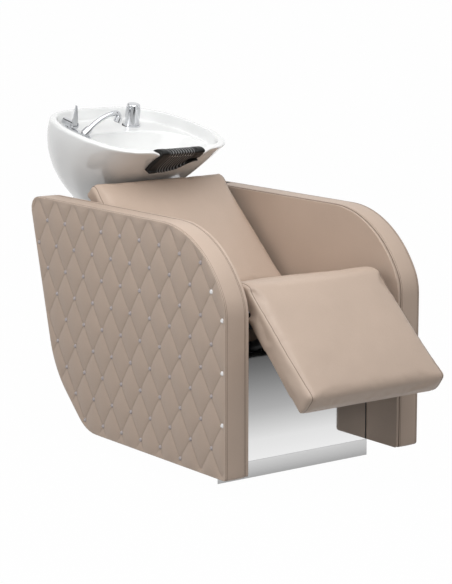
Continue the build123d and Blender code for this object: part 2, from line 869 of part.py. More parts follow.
def actuator_bracket():
    """Fork welded to the middle tube, with the pin through the actuator's rear eye."""
    parts = []
    half = eye_thickness / 2 + ear_gap
    y1 = eye_y + eye_setback
    corners = [(eye_y, eye_z - eye_radius), (y1, eye_z - tube_size / 2), (y1, eye_z + tube_size / 2)]
    cheek = make_face(Polyline(corners + [(eye_y, eye_z + eye_radius)], close=True))
    cheek += Pos(eye_y, eye_z) * Circle(eye_radius)
    cheek -= Pos(eye_y, eye_z) * Circle(clevis_pin_radius)
    for side in (-1, 1):
        x = side * half
        outer = x + side * bracket_plate
        parts.append(side_extrude(cheek, min(x, outer), max(x, outer)))
    reach = half + bracket_plate + overrun
    pin = bar_x(clevis_pin_radius, -reach, reach, eye_y, eye_z)
    return group(parts), pin


def basin_place():
    """Basin's own frame: y back along the rim, z square to the rim plane."""
    return Pos(0, back(basin_y), basin_z) * Rot(rim_tilt, 0, 0)


def loop(half_width, front, rear, height):
    """Egg-shaped section of the basin at a height: (x, y) shares on one side, mirrored."""
    widest = front + basin_widest_share * (rear - front)
    right = []
    for x_share, y_share in basin_loop_shares:
        reach = (widest - front) if y_share < 0 else (rear - widest)
        right.append((half_width * x_share, widest + reach * y_share))
    left = [(-x, y) for x, y in right]
    one = Spline(*right, tangents=[(1, 0), (-1, 0)])
    two = Spline(*left, tangents=[(-1, 0), (1, 0)])
    return Pos(0, 0, height) * make_face([one, two])


def stack(levels):
    """Smooth solid through (height, half width, front, rear) sections."""
    return loft([loop(half_width, front, rear, height) for height, half_width, front, rear in levels])


def deck_round(x, y, radius, low, high):
    """Round bar square to the deck, from low to high above it."""
    return Pos(x, y, -deck_drop + (low + high) / 2) * Cylinder(radius, high - low)


def deck_drill(x, y, radius):
    """Hole square through the deck, with room for the nut under it."""
    return deck_round(x, y, radius, -ceramic - tail_length, overrun)


def tail_places():
    """The mixer's two tails: local (x, y) of each."""
    middle = (barrel_start + barrel_end) / 2
    return [(mixer_x, middle - tail_spacing / 2), (mixer_x, middle + tail_spacing / 2)]


def basin_shell():
    """Ceramic basin: skirt, rim, deck, bowl and the open space under the deck."""
    outer = [(depth_share * basin_depth, width_share * basin_half_width, front_share * basin_front,
              rear_share * basin_rear) for depth_share, width_share, front_share, rear_share in skirt_shares]
    shell = stack(outer)
    shell = fillet(shell.faces().sort_by(Axis.Z)[-1].edges(), rim_radius)
    mouth = (overrun, basin_half_width - rim_width, rim_width - basin_front, basin_rear - rim_width)
    floor = rim_width + pocket_draft
    deck_front = rim_width + pocket_front_draft - basin_front
    deck = (-deck_drop, basin_half_width - floor, deck_front, basin_rear - floor)
    shell -= stack([mouth, deck])
    bowl = [(depth_share * bowl_depth, width_share * bowl_half_width, front_share * bowl_front,
             rear_share * bowl_rear) for depth_share, width_share, front_share, rear_share in bowl_shares]
    shell -= stack(bowl)
    under = [(w, x - ceramic, f + ceramic, r - ceramic) for w, x, f, r in outer if w < -deck_drop - ceramic]
    first = (-deck_drop - ceramic, *under[0][1:])
    last = (-basin_depth - overrun, *under[-1][1:])
    below = stack([(w - ceramic, x + ceramic, f - ceramic, r + ceramic) for w, x, f, r in bowl])
    shell -= stack([first, *under, last]) - below
    block = Box(2 * notch_half_width, 2 * notch_depth, 4 * rim_width)
    notch = Pos(0, -basin_front, 0) * Rot(90, 0, 0) * block
    shell -= fillet(notch.edges().filter_by(Axis.Y), notch_depth / 2)
    for x, y in tail_places():
        shell -= deck_drill(x, y, fitting_hole_radius)
    shell -= deck_drill(socket_x, socket_back, fitting_hole_radius)
    shell -= deck_drill(breaker_x, breaker_back, fitting_hole_radius)
    shell -= Pos(0, drain_back, -bowl_depth) * Cylinder(drain_radius, 4 * ceramic)
    return simple_solids(shell, below)


def simple_solids(shell, cup):
    """The casting as four solids that meet at the deck's faces: rim, deck, skirt and bowl."""
    size = 4 * basin_rear
    heights = [rim_radius, -deck_drop, -deck_drop - ceramic, -basin_depth - rim_radius]
    layers = []
    for high, low in zip(heights, heights[1:]):
        layers.append(shell & Pos(0, 0, (high + low) / 2) * Box(size, size, high - low))
    rim, deck, under = layers
    return group([*rim.solids(), *deck.solids(), *(under - cup).solids(), *(under & cup).solids()])


def neck_rest(shell):
    """Rubber saddle over the basin's front lip, ribbed where the neck lies."""
    outline = [(y_share * neck_reach, w_share * neck_drop) for y_share, w_share in neck_shares]
    side = make_face(Spline(*outline, periodic=True))
    block = extrude(Plane.YZ * side, neck_half_width, both=True)
    return block - shell


def mixer_body():
    """Mixer: barrel on two threaded tails, with a bar forward to the handset's socket."""
    barrel_w = -deck_drop + barrel_lift
    middle = (barrel_start + barrel_end) / 2
    turn = Rot(90, 0, 0)
    body = Pos(mixer_x, middle, barrel_w) * turn * Cylinder(barrel_radius, barrel_end - barrel_start)
    for x, y in tail_places():
        body += deck_round(x, y, tail_radius, -ceramic - tail_length, barrel_lift)
        body += deck_round(x, y, tail_neck_radius, 0, barrel_lift)
    start = socket_back + socket_flange_radius
    plate = Pos(mixer_x, (start + middle) / 2, -deck_drop + bridge_height / 2)
    plate *= Box(bridge_width, middle - start, bridge_height)
    return body + plate


def mixer_hub():
    """Turning hub on the front end of the barrel, forked for the lever."""
    barrel_w = -deck_drop + barrel_lift
    turn = Rot(90, 0, 0)
    middle = barrel_start - hub_gap - hub_length / 2
    hub = Pos(mixer_x, middle, barrel_w) * turn * Cylinder(hub_radius, hub_length)
    foot = blade_thickness / 2 + hub_gap
    slot = Box(blade_width + 2 * hub_gap, hub_length + overrun, hub_radius + foot + overrun)
    hub -= Pos(mixer_x, middle, barrel_w + (hub_radius + overrun - foot) / 2) * slot
    hole = blade_pin_radius + running_gap
    return hub - bar_x(hole, mixer_x - hub_radius, mixer_x + hub_radius, middle, barrel_w)


def mixer_lever():
    """Pointed blade lever standing up from the hub."""
    low = barrel_lift - deck_drop
    half = blade_width / 2
    tip = half * blade_tip_share
    top = low + blade_height
    face = make_face(Polyline((-half, low), (half, low), (half, low + 2 * half), (tip, top), (-tip, top),
                              (-half, low + 2 * half), close=True))
    y = barrel_start - hub_gap - hub_length / 2
    blade = extrude(Plane.XZ * face, blade_thickness / 2, both=True)
    corners = blade.edges().filter_by(Axis.Y).sort_by(Axis.Z)[2:]
    lever = Pos(mixer_x, y, 0) * fillet(corners, tip)
    lever += bar_x(blade_thickness / 2, mixer_x - half, mixer_x + half, y, low)
    return lever + bar_x(blade_pin_radius, mixer_x - blade_pin_half, mixer_x + blade_pin_half, y, low)


def handset_line():
    """Points of the handset's line in the basin's frame, from the middle of its socket."""
    def step(start, length, angle):
        turn = math.radians(angle)
        return start + Vector(length * math.cos(turn), 0, length * math.sin(turn))
    start = Vector(socket_x, socket_back, -deck_drop + knuckle_lift)
    bend = step(start, handset_run, handset_pitch)
    elbow = step(bend, crown_run, crown_pitch)
    end = step(elbow, head_run, head_angle)
    return start, bend, elbow, end


def handset_socket():
    """Leaning holder on the deck that the handset pulls out of."""
    start, bend = handset_line()[:2]
    run = (bend - start).normalized()
    low = start - run * (knuckle_length / 2)
    knuckle = extrude(Plane(origin=low, z_dir=run) * Circle(knuckle_radius), knuckle_length)
    floor = -deck_drop
    flange = deck_round(socket_x, socket_back, socket_flange_radius, 0, socket_flange)
    post = deck_round(socket_x, socket_back, knuckle_radius, 0, knuckle_lift)
    shank = deck_round(socket_x, socket_back, tail_radius, -ceramic - tail_length / 2, socket_flange)
    body = knuckle + flange + post + shank
    reach = knuckle_length + 2 * knuckle_radius
    block = Box(2 * reach, 2 * reach, reach) - Cylinder(tail_radius, reach)
    below = Pos(socket_x, socket_back, floor - reach / 2) * block
    mouth = Plane(origin=low + run * socket_flange, z_dir=run) * Circle(ferrule_radius + running_gap)
    bore = extrude(mouth, reach)
    return body - below - bore


def ferrule():
    """Sleeve that slides in the holder and carries the handset on its pin."""
    start, bend = handset_line()[:2]
    run = (bend - start).normalized()
    foot = start - run * (knuckle_length / 2 - 2 * socket_flange)
    mouth = start + run * (knuckle_length / 2)
    shank = Plane(origin=foot, z_dir=run) * Circle(ferrule_radius)
    sleeve = extrude(shank, (mouth - foot).length + ferrule_collar)
    collar = Plane(origin=mouth + run * hub_gap, z_dir=run) * Circle(ferrule_collar_radius)
    sleeve += extrude(collar, ferrule_collar)
    top = mouth + run * (ferrule_collar + hub_gap)
    pin = Plane(origin=top - run * hub_gap, z_dir=run) * Circle(ferrule_pin_radius)
    return sleeve + extrude(pin, ferrule_pin)


def handset():
    """Bent shower handset: handle, elbow and spray head, and the spray face in it."""
    start, bend, elbow, end = handset_line()
    run = (bend - start).normalized()
    foot = start + run * (knuckle_length / 2 + ferrule_collar + 2 * hub_gap)
    path = FilletPolyline([foot, bend, elbow, end], radius=[crown_bend_radius, head_bend_radius])
    down = (end - elbow).normalized()
    body = sweep(Plane(origin=foot, z_dir=run) * Circle(handset_radius), path=path)
    head_start = end - down * head_length
    body += extrude(Plane(origin=head_start, z_dir=down) * Circle(head_radius), head_length)
    socket = Plane(origin=foot - run * overrun, z_dir=run) * Circle(ferrule_pin_radius + running_gap)
    body -= extrude(socket, ferrule_pin + 2 * overrun)
    face_start = end - down * spray_depth
    body -= extrude(Plane(origin=face_start, z_dir=down) * Circle(spray_radius), spray_depth + overrun)
    face = extrude(Plane(origin=face_start, z_dir=down) * Circle(spray_radius), spray_depth + spray_proud)
    return body, face


def vacuum_breaker():
    """Backflow breaker on the deck: flanged body and domed cap."""
    body = deck_round(breaker_x, breaker_back, breaker_flange_radius, 0, breaker_flange)
    top = breaker_flange + breaker_body_height
    body += deck_round(breaker_x, breaker_back, breaker_radius, breaker_flange, top)
    body += deck_round(breaker_x, breaker_back, tail_radius, -ceramic - tail_length, 0)
    cap = deck_round(breaker_x, breaker_back, breaker_cap_radius, top, top + breaker_cap_height)
    cap = fillet(cap.faces().sort_by(Axis.Z)[-1].edges(), breaker_cap_height / 2)
    return body, cap


def basin_cradle():
    """Steel tray under the basin with the two ears that its tilt pins pass through."""
    top = -basin_depth
    low = top - cradle_thickness
    tray = Pos(0, (cradle_front + cradle_rear) / 2, (top + low) / 2)
    tray *= Box(2 * cradle_half_width, cradle_rear - cradle_front, cradle_thickness)
    tray -= Pos(0, drain_back, low) * Cylinder(waste_nut_radius + overrun, 4 * cradle_thickness)
    half = cradle_ear_width / 2
    ear = make_face(Polyline((pivot_back - half, low), (pivot_back + half, low),
                             (pivot_back + half / 2, -pivot_drop),
                             (pivot_back - half / 2, -pivot_drop), close=True))
    ear += Pos(pivot_back, -pivot_drop) * Circle(half / 2)
    ear -= Pos(pivot_back, -pivot_drop) * Circle(pivot_pin_radius)
    for x0 in (-cradle_ear_x - cradle_thickness / 2, cradle_ear_x - cradle_thickness / 2):
        tray += side_extrude(ear, x0, x0 + cradle_thickness)
    return tray


def tilt_pins():
    """Headed pins of the basin's tilt, fixed in the cradle's ears."""
    inner = cradle_ear_x - cradle_thickness / 2
    outer = cradle_ear_x + cradle_thickness / 2 + ear_gap + ear_thickness + overrun
    pin = bar_x(pivot_pin_radius, inner, outer, pivot_back, -pivot_drop)
    pin += bar_x(2 * pivot_pin_radius, inner - screw_head, inner, pivot_back, -pivot_drop)
    return group([pin, other_side(pin)])


def waste():
    """Waste outlet: flange in the bowl, nut and tail below it, and the lift-out hair strainer."""
    def round_at(radius, low, high):
        return Pos(0, drain_back, (low + high) / 2) * Cylinder(radius, high - low)
    floor = -bowl_depth
    under = floor - ceramic
    inner = waste_radius - waste_wall
    flange = round_at(waste_flange_radius, floor, floor + waste_flange)
    flange += round_at(drain_radius - running_gap, under, floor)
    flange -= round_at(inner, under - overrun, floor + waste_flange + overrun)
    tail = round_at(waste_nut_radius, under - waste_nut_height, under)
    tail += round_at(waste_radius, -waste_end_drop, under)
    tail -= round_at(inner, -waste_end_drop - overrun, under + overrun)
    top = floor + waste_flange
    strainer = round_at(strainer_radius, top, top + strainer_sheet)
    strainer += round_at(strainer_cup_radius, top - strainer_depth, top)
    cup = strainer_cup_radius - strainer_sheet
    strainer -= round_at(cup, top - strainer_depth + strainer_sheet, top + strainer_sheet + overrun)
    spokes = strainer_holes
    for index in range(spokes):
        turn = 360.0 / spokes * index
        hole = Pos(0, drain_back, 0) * Rot(0, 0, turn) * Pos(strainer_hole_ring, 0, top - strainer_depth)
        strainer -= hole * Cylinder(strainer_hole_radius, 4 * strainer_sheet)
    return {"waste_flange": flange, "waste_tail": tail, "hair_strainer": strainer}


def basin_beam():
    """Tube between the side panels that carries the basin, with its two pivot ears."""
    half = beam_size / 2
    y, z = back(beam_y), beam_z
    beam = tube_x(y - half, y + half, z - half, z + half, inner_face)
    pivot = (basin_place() * Pos(0, pivot_back, -pivot_drop)).position
    py, pz = pivot.Y, pivot.Z
    radius = cradle_ear_width / 4
    ear = make_face(Polyline((y + half, z - half), (py, pz - radius), (py, pz + radius), (y, z + half),
                             (y + half, z + half), close=True))
    ear += Pos(py, pz) * Circle(radius + overrun)
    ear -= make_face(Polyline((y - half, z - half), (y + half, z - half), (y + half, z + half),
                              (y - half, z + half), close=True))
    bore = pivot_pin_radius + running_gap + bush_wall
    ear -= Pos(py, pz) * Circle(bore)
    start = cradle_ear_x + cradle_thickness / 2 + ear_gap
    plate = side_extrude(ear, start, start + ear_thickness)
    bush_ring = bar_x(bore, start, start + ear_thickness, py, pz)
    bush_ring -= bar_x(pivot_pin_radius + running_gap, start - overrun,
                           start + ear_thickness + overrun, py, pz)
    return beam + plate + other_side(plate), group([bush_ring, other_side(bush_ring)])


def switch():
    """Rocker switch: bezel and box in the panel's edge, and the rocker on its pins."""
    y = back(switch_y)
    half_y, half_x = switch_length / 2, switch_width / 2
    top = panel_top
    rim_x = half_x + switch_bezel
    rim_y = half_y + switch_bezel
    frame = slab(switch_x - rim_x, switch_x + rim_x, y - rim_y, y + rim_y, top, top + switch_bezel)
    frame += slab(switch_x - half_x, switch_x + half_x, y - half_y, y + half_y, top - switch_depth, top)
    wall = switch_wall
    mouth = top - switch_depth / 2
    frame -= slab(switch_x - half_x + wall, switch_x + half_x - wall, y - half_y + wall, y + half_y - wall,
                  mouth, top + switch_bezel + overrun)
    pin_z = top - switch_bezel
    frame -= bar_x(rocker_pin_radius + running_gap, switch_x - half_x, switch_x + half_x, y, pin_z)
    inner_y = half_y - wall - rocker_gap
    inner_x = half_x - wall - rocker_gap
    drop = inner_y * math.tan(math.radians(rocker_tilt))
    tip = pin_z + drop + switch_bezel
    foot_y = inner_y * rocker_foot_share
    corners = [(y - inner_y, tip), (y, pin_z + drop / 2), (y + inner_y, tip)]
    corners += [(y + foot_y, pin_z - drop), (y - foot_y, pin_z - drop)]
    crown = make_face(Polyline(corners, close=True))
    rocker = side_extrude(crown, switch_x - inner_x, switch_x + inner_x)
    pin_half = half_x - overrun / 2
    rocker += bar_x(rocker_pin_radius, switch_x - pin_half, switch_x + pin_half, y, pin_z)
    return frame, rocker


def control_box():
    """Power supply and control case on the rear tube."""
    y1 = -base_front
    z0 = floor_rail_height + tube_size
    half = control_width / 2
    case = slab(control_x - half, control_x + half, y1 - control_depth, y1, z0, z0 + control_height)
    wall = control_wall
    case -= slab(control_x - half + wall, control_x + half - wall,
                 y1 - control_depth + wall, y1 - wall, z0 + wall, z0 + control_height - wall)
    tall = case.edges().filter_by(Axis.Z).filter_by(lambda e: e.length > control_height - overrun)
    return fillet(tall, wall)


def gland_line():
    """Start and direction of the cable gland on the rear cover's outer face."""
    top = Vector(back(top_rear_y), panel_top, 0)
    elbow = Vector(back(rear_elbow_y), rear_elbow_z, 0)
    share = (gland_z - elbow.Y) / (top.Y - elbow.Y)
    along = top - elbow
    edge = elbow + along * share
    normal = Vector(along.Y, -along.X, 0).normalized()
    start = edge - normal * cover_inset
    return Vector(gland_x, start.X, start.Y), Vector(0, normal.X, normal.Y)


def cable_gland():
    """Strain relief where the mains lead enters the cover: nut, neck and bore."""
    start, run = gland_line()
    inner = start - run * (sheet + gland_nut)
    gland = extrude(Plane(origin=inner, z_dir=run) * Circle(gland_radius), sheet + gland_nut + gland_length)
    gland += extrude(Plane(origin=start, z_dir=run) * RegularPolygon(gland_nut_radius, 6), gland_nut)
    gland += extrude(Plane(origin=inner, z_dir=run) * RegularPolygon(gland_nut_radius, 6), gland_nut)
    bore = Plane(origin=inner - run * overrun, z_dir=run) * Circle(gland_bore)
    return gland - extrude(bore, sheet + gland_nut + gland_length + 2 * overrun)


def cover_screws():
    """Button-head screws that hold the rear cover to the side panels' clips."""
    start, run = gland_line()
    screws = []
    along = Vector(0, -run.Z, run.Y)
    for row in screw_rows:
        for side in (-1, 1):
            x = side * (inner_face - sheet_clearance - screw_inset)
            place = Vector(x, start.Y, start.Z) + along * row
            screw = extrude(Plane(origin=place, z_dir=run) * Circle(screw_head_radius), screw_head)
            shank = Plane(origin=place - run * screw_length, z_dir=run) * Circle(screw_radius)
            screw += extrude(shank, screw_length)
            screws.append(screw)
    return screws


def export(node, part):
    """Write one node."""
    export_step(part, f"parts/{node}.step")


nodes = {}
for name, part in side_panel().items():
    nodes[f"side_{name}_right"] = part
    nodes[f"side_{name}_left"] = other_side(part)
nodes["floor_rails"] = floor_rails()
nodes["cross_rails"] = cross_rails()
nodes["frame_side_right"] = frame_side()
nodes["frame_side_left"] = other_side(nodes["frame_side_right"])
nodes["hinge_bushes"] = hinge_bushes()
nodes["front_panel"] = front_panel()
nodes["kick_plinth"] = kick_plinth()
nodes |= seat()
nodes |= backrest()
nodes |= leg_rest()
nodes["actuator_rod"] = actuator_rod()
nodes["actuator_housing"] = actuator_housing()
nodes["actuator_motor"] = actuator_motor()
nodes["actuator_bracket"], nodes["actuator_pin"] = actuator_bracket()

in_basin = {"basin_shell": basin_shell()}
in_basin["neck_rest"] = neck_rest(in_basin["basin_shell"])
in_basin["basin_cradle"] = basin_cradle()
in_basin["tilt_pins"] = tilt_pins()
in_basin |= waste()
in_basin["mixer_body"] = mixer_body()
in_basin["mixer_hub"] = mixer_hub()
in_basin["mixer_lever"] = mixer_lever()
in_basin["handset_socket"] = handset_socket()
in_basin["handset_ferrule"] = ferrule()
in_basin["handset"], in_basin["spray_face"] = handset()
in_basin["breaker_body"], in_basin["breaker_cap"] = vacuum_breaker()
for name, part in in_basin.items():
    nodes[name] = basin_place() * part

nodes["basin_beam"], nodes["tilt_bushes"] = basin_beam()
nodes["switch_frame"], nodes["switch_rocker"] = switch()
pocket = slab(switch_x - switch_width / 2, switch_x + switch_width / 2, back(switch_y) - switch_length / 2,
              back(switch_y) + switch_length / 2, panel_top - switch_depth, panel_top + overrun)
for layer in ("core", "edge_band"):
    nodes[f"side_{layer}_left"] -= pocket
nodes["control_box"] = control_box()
nodes["rear_cover"] = rear_cover()
nodes["cable_gland"] = cable_gland()
nodes["cover_screws"] = group(cover_screws())

for node, part in nodes.items():
    export(node, part)
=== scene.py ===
"""Salon backwash unit: upholstered chair between quilted side panels, with a ceramic basin."""

import math

import bmesh
import bpy
from bpy.props import FloatProperty, FloatVectorProperty, IntProperty, PointerProperty
from mathutils import Matrix, Vector, noise
from mathutils.kdtree import KDTree


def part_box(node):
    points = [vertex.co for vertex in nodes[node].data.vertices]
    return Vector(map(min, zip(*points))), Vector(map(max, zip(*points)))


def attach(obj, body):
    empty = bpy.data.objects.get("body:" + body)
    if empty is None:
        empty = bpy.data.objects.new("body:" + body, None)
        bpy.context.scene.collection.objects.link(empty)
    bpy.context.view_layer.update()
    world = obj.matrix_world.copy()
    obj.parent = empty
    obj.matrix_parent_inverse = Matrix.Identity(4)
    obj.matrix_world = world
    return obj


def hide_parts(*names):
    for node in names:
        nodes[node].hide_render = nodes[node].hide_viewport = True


bl_info = {
    "name": "Salon Backwash Unit",
    "version": (1, 0, 0),
    "blender": (4, 5, 0),
    "location": "View3D > Sidebar > Backwash",
    "description": "Dresses a salon backwash unit: quilted leather, glazed basin and chrome fittings",
    "category": "Add Mesh",
}

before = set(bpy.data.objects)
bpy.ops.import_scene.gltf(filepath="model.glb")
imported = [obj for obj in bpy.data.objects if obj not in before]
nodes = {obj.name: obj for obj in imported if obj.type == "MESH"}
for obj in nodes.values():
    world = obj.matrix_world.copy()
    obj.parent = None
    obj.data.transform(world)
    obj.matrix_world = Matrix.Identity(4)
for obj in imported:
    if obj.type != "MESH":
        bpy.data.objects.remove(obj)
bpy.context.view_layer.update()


def length(name, value, text):
    """Property of a length in metres."""
    return FloatProperty(name=name, description=text, default=value, unit="LENGTH", precision=4)


def angle(name, degrees, text):
    """Property of an angle, given in degrees."""
    return FloatProperty(name=name, description=text, default=math.radians(degrees), subtype="ANGLE")


def portion(name, value, text):
    """Property of a share between 0 and 1."""
    return FloatProperty(name=name, description=text, default=value, subtype="FACTOR", min=0, max=1)


def watts(name, value, text):
    """Property of a lamp's power in watts."""
    return FloatProperty(name=name, description=text, default=value, unit="POWER", min=0)


def colour(name, value, text):
    """Property of a linear colour."""
    return FloatVectorProperty(name=name, description=text, default=value, subtype="COLOR", size=3,
                               min=0, max=1)


class PanelSizes(bpy.types.PropertyGroup):
    """Outline and layers of the side panels; each y is counted from the panels' front edge."""

    front_y: length("Front", -0.385, "Y of the panels' front edge")
    top: length("Top", 0.748, "Height of the flat top edge")
    bottom: length("Bottom", 0.050, "Height of the lower edge above the floor")
    bend_z: length("Bend height", 0.546, "Height where the front edge turns back")
    bend_radius: length("Bend radius", 0.138, "Radius of that bend")
    shoulder_y: length("Shoulder", 0.114, "Corner where the slope meets the top")
    shoulder_radius: length("Shoulder radius", 0.332, "Radius at the shoulder")
    rear_y: length("Top rear", 1.034, "Rear end of the top edge")
    rear_radius: length("Top rear radius", 0.038, "Radius of the rear top corner")
    elbow_y: length("Elbow", 0.901, "Corner part way down the rear edge")
    elbow_z: length("Elbow height", 0.218, "Height of that corner")
    elbow_radius: length("Elbow radius", 0.310, "Radius at the elbow")
    foot_y: length("Foot", 0.721, "Rear end of the lower edge")
    foot_radius: length("Foot radius", 0.135, "Radius at the foot")
    toe_radius: length("Toe radius", 0.009, "Radius of the front lower corner")
    outer_x: length("Outer face", 0.360, "Half the overall width")
    inner_x: length("Inner face", 0.280, "Half the space between the side plates")
    plate_cover: length("Plate cover", 0.0048, "How far the inner pads reach over the steel side plates")
    roll: length("Roll", 0.0018, "Radius of the pads' rolled edge")
    pad_depth: length("Pad depth", 0.017, "Depth of a face pad")
    band_half: length("Band half width", 0.034, "Half the width of the edge band")
    band_crown: length("Band crown", 0.0012, "How far the edge band stands proud in its middle")
    band_lip: length("Band lip", 0.0045, "How far the edge band turns in beside the pads")
    seam: length("Seam", 0.0009, "Radius of the seam cord between band and pad")
    seam_sink: length("Seam sink", 0.0008, "Depth of that cord's middle below the band's face")
    stitch_inset: length("Stitch inset", 0.0045, "Distance of the band's stitch line from its edge")
    # Painted shadow: the black cords beside the mirror panel stand in for the shade in the gaps there.
    trim: length("Trim", 0.0016, "Radius of the black trims beside the mirror panel")


class QuiltSizes(bpy.types.PropertyGroup):
    """Diamond quilting of the outer faces."""

    width: length("Diamond width", 0.1015, "Step between crossings along a row")
    height: length("Diamond height", 0.149, "Step between rows of the same phase")
    first_y: length("First crossing", 0.0195, "Place of the first crossing behind the front edge")
    first_z: length("First row", 0.084, "Height of the lowest row")
    droop: length("Droop", 0.026, "How far the rows fall near the front edge")
    droop_start: length("Droop start", 0.360, "Where the rows begin to fall")
    droop_run: length("Droop run", 0.270, "Length over which they fall")
    puff: length("Puff", 0.0062, "Height of a diamond over its stitching")
    shoulder: length("Shoulder", 0.012, "Run over which the leather rises from a stitch line")
    pillow: portion("Pillow", 0.62, "Share of that height which rises straight from the stitch lines")
    dimple: length("Dimple", 0.0022, "Depth of the dimple round a crossing")
    dimple_reach: length("Dimple reach", 0.009, "Reach of that dimple")
    edge_run: length("Edge run", 0.014, "Run over which the quilting begins at the pad's edge")
    edge_level: portion("Edge level", 0.45, "Height of the leather at that edge, as a share of the puff")
    # The tuck's half width sets how far the painted shade spreads from a stitch line.
    tuck: length("Tuck", 0.0026, "Half width of the shaded tuck along a stitch line")
    margin: length("Margin", 0.012, "Least distance of a crystal from the edge")
    crystal: length("Crystal", 0.0074, "Radius of a crystal button")
    crystal_height: length("Crystal height", 0.0040, "Height of a crystal button")
    crystal_lift: length("Crystal lift", 0.0010, "Height of its middle over the stitching")
    clear_reach: length("Clear reach", 0.045, "Crystals nearer than this to the front edge are clear")
    steps: IntProperty(name="Steps", description="Mesh steps along one side of a diamond", default=14, min=4)


class CushionSizes(bpy.types.PropertyGroup):
    """Stuffing and seams of the three cushions."""

    voxel: length("Voxel", 0.0062, "Mesh size of the cushions before their last subdivision")
    shrink: length("Shrink", 0.001, "How much smaller a cushion starts than its form")
    reach: length("Reach", 0.007, "How far the stuffing may push a point")
    pressure: FloatProperty(name="Pressure", description="Pressure of the stuffing", default=4.0)
    plump: length("Plump", 0.0038, "How far the finished leather is let out again")
    seam_inset: length("Seam inset", 0.013, "Distance of the side seams from a cushion's flanks")
    groove: length("Groove", 0.0022, "Depth of the leather's dip at a seam")
    groove_half: length("Groove half width", 0.0050, "Half width of that dip")
    thread: length("Thread", 0.0009, "Radius of the seam's thread line")
    crease: length("Crease", 0.0011, "Height of the soft folds in the leather")
    hinge_y: length("Hinge Y", -0.305, "Y of the leg rest's hinge")
    hinge_z: length("Hinge height", 0.512, "Height of the leg rest's hinge")
    leg_slope: angle("Leg slope", 43.4, "Fall of the leg rest")
    leg_half: length("Leg rest half width", 0.250, "Half the leg rest's width")
    leg_length: length("Leg rest length", 0.372, "Length of the leg rest from its hinge")
    leg_under: length("Board's underside", 0.0235, "Height of the leg rest board over its hinge")
    skirt: length("Skirt", 0.018, "How far the leather hangs below the leg rest's board")
    skirt_lap: length("Skirt lap", 0.017, "How far that leather laps up over the board's edge")
    skirt_wide: length("Skirt width", 0.026, "Thickness of that hanging edge")
    skirt_start: length("Skirt start", 0.036, "Where it begins, from the hinge")
    skirt_inset: length("Skirt inset", 0.001, "How far it stands back from the leather's flanks")


class BasinSizes(bpy.types.PropertyGroup):
    """Ceramic basin, in its own tilted frame: w up from the rim, s back along it."""

    origin_y: length("Origin Y", 0.515, "Y of the basin frame's origin")
    origin_z: length("Origin height", 0.9337, "Height of the basin frame's origin")
    tilt: angle("Tilt", 10.11, "Slope of the rim")
    widest: portion("Widest", 0.477, "Where the egg shape is widest, as a share of its length")
    notch_half: length("Notch half width", 0.092, "Half width of the dip for the neck rest")
    notch_depth: length("Notch depth", 0.013, "Depth of that dip")
    notch_blend: length("Notch blend", 0.024, "Width over which the dip ends at either side")
    notch_start: length("Notch start", -0.090, "Place along the basin where the dip begins")
    notch_run: length("Notch run", 0.040, "Length over which it reaches its depth")
    notch_fade: length("Notch fade", 0.045, "Depth below the rim at which the dip has faded")
    drain_s: length("Drain place", 0.085, "Place of the drain along the basin")
    drain_radius: length("Drain radius", 0.022, "Radius of the drain hole")
    deck: length("Deck", -0.038, "Level of the deck that carries the fittings")
    gasket: length("Gasket", 0.0016, "Radius of the rubber rings under the fittings")
    gasket_lift: length("Gasket lift", 0.0005, "Height of a ring's middle over the deck")
    neck_voxel: length("Neck rest mesh", 0.0019, "Mesh size of the neck rest")
    lowered: portion("Lowered", 0.5, "Share by which the neck rest's top is lowered")
    taper: portion("Taper", 0.68, "How far the underside of its wing rises")
    sag: portion("Sag", 0.15, "How far its lobe hangs lower")
    narrow: portion("Narrow", 0.83, "Width of its wing as a share of the solid's")
    rib: length("Rib", 0.0026, "Height of the neck rest's ribs")
    rib_pitch: length("Rib pitch", 0.0098, "Distance between the ribs")
    rib_crest: length("Rib crest", -0.056, "X of one rib's crest")
    rib_low: length("First rib", -0.060, "X where the ribs begin")
    rib_high: length("Last rib", 0.036, "X where the ribs end")
    lobe: length("Lobe", 0.0042, "Height of the neck rest's rounded lobe")
    wing: length("Wing", 0.0030, "Height of its plain wing")


class Finishes(bpy.types.PropertyGroup):
    """Colours of the main materials."""

    leather: colour("Leather", (0.482, 0.375, 0.302), "Taupe upholstery")
    thread: colour("Thread", (0.170, 0.122, 0.094), "Seam lines")
    glaze: colour("Glaze", (0.830, 0.835, 0.830), "Ceramic")
    rubber: colour("Rubber", (0.005, 0.005, 0.005), "Neck rest")
    steel: colour("Steel", (0.620, 0.620, 0.620), "Brushed sheet")
    chrome: colour("Chrome", (0.640, 0.650, 0.670), "Polished fittings")
    paint: colour("Paint", (0.012, 0.012, 0.013), "Powder coat of the frame")


class StageSizes(bpy.types.PropertyGroup):
    """Camera of the photograph and the lamps."""

    camera: FloatVectorProperty(name="Camera", description="Place of the camera", subtype="TRANSLATION",
                                unit="LENGTH", default=(-3.6184, -4.8029, 1.5764))
    yaw: angle("Yaw", 36.46, "Turn to the right of +Y")
    pitch: angle("Pitch", 10.19, "Tilt below the horizon")
    lens: FloatProperty(name="Lens", description="Focal length for a 36 mm high film, in millimetres",
                        default=125.3)
    ambient: portion("Ambient", 0.43, "Strength of the white surround")
    floor_seen: portion("Floor seen", 0.99, "How white the camera and mirrors see the floor")
    key: watts("Key", 33.0, "Power of the overhead soft box")
    front: watts("Front", 14.0, "Power of the front soft box")
    side: watts("Side", 32.0, "Power of the side soft box")


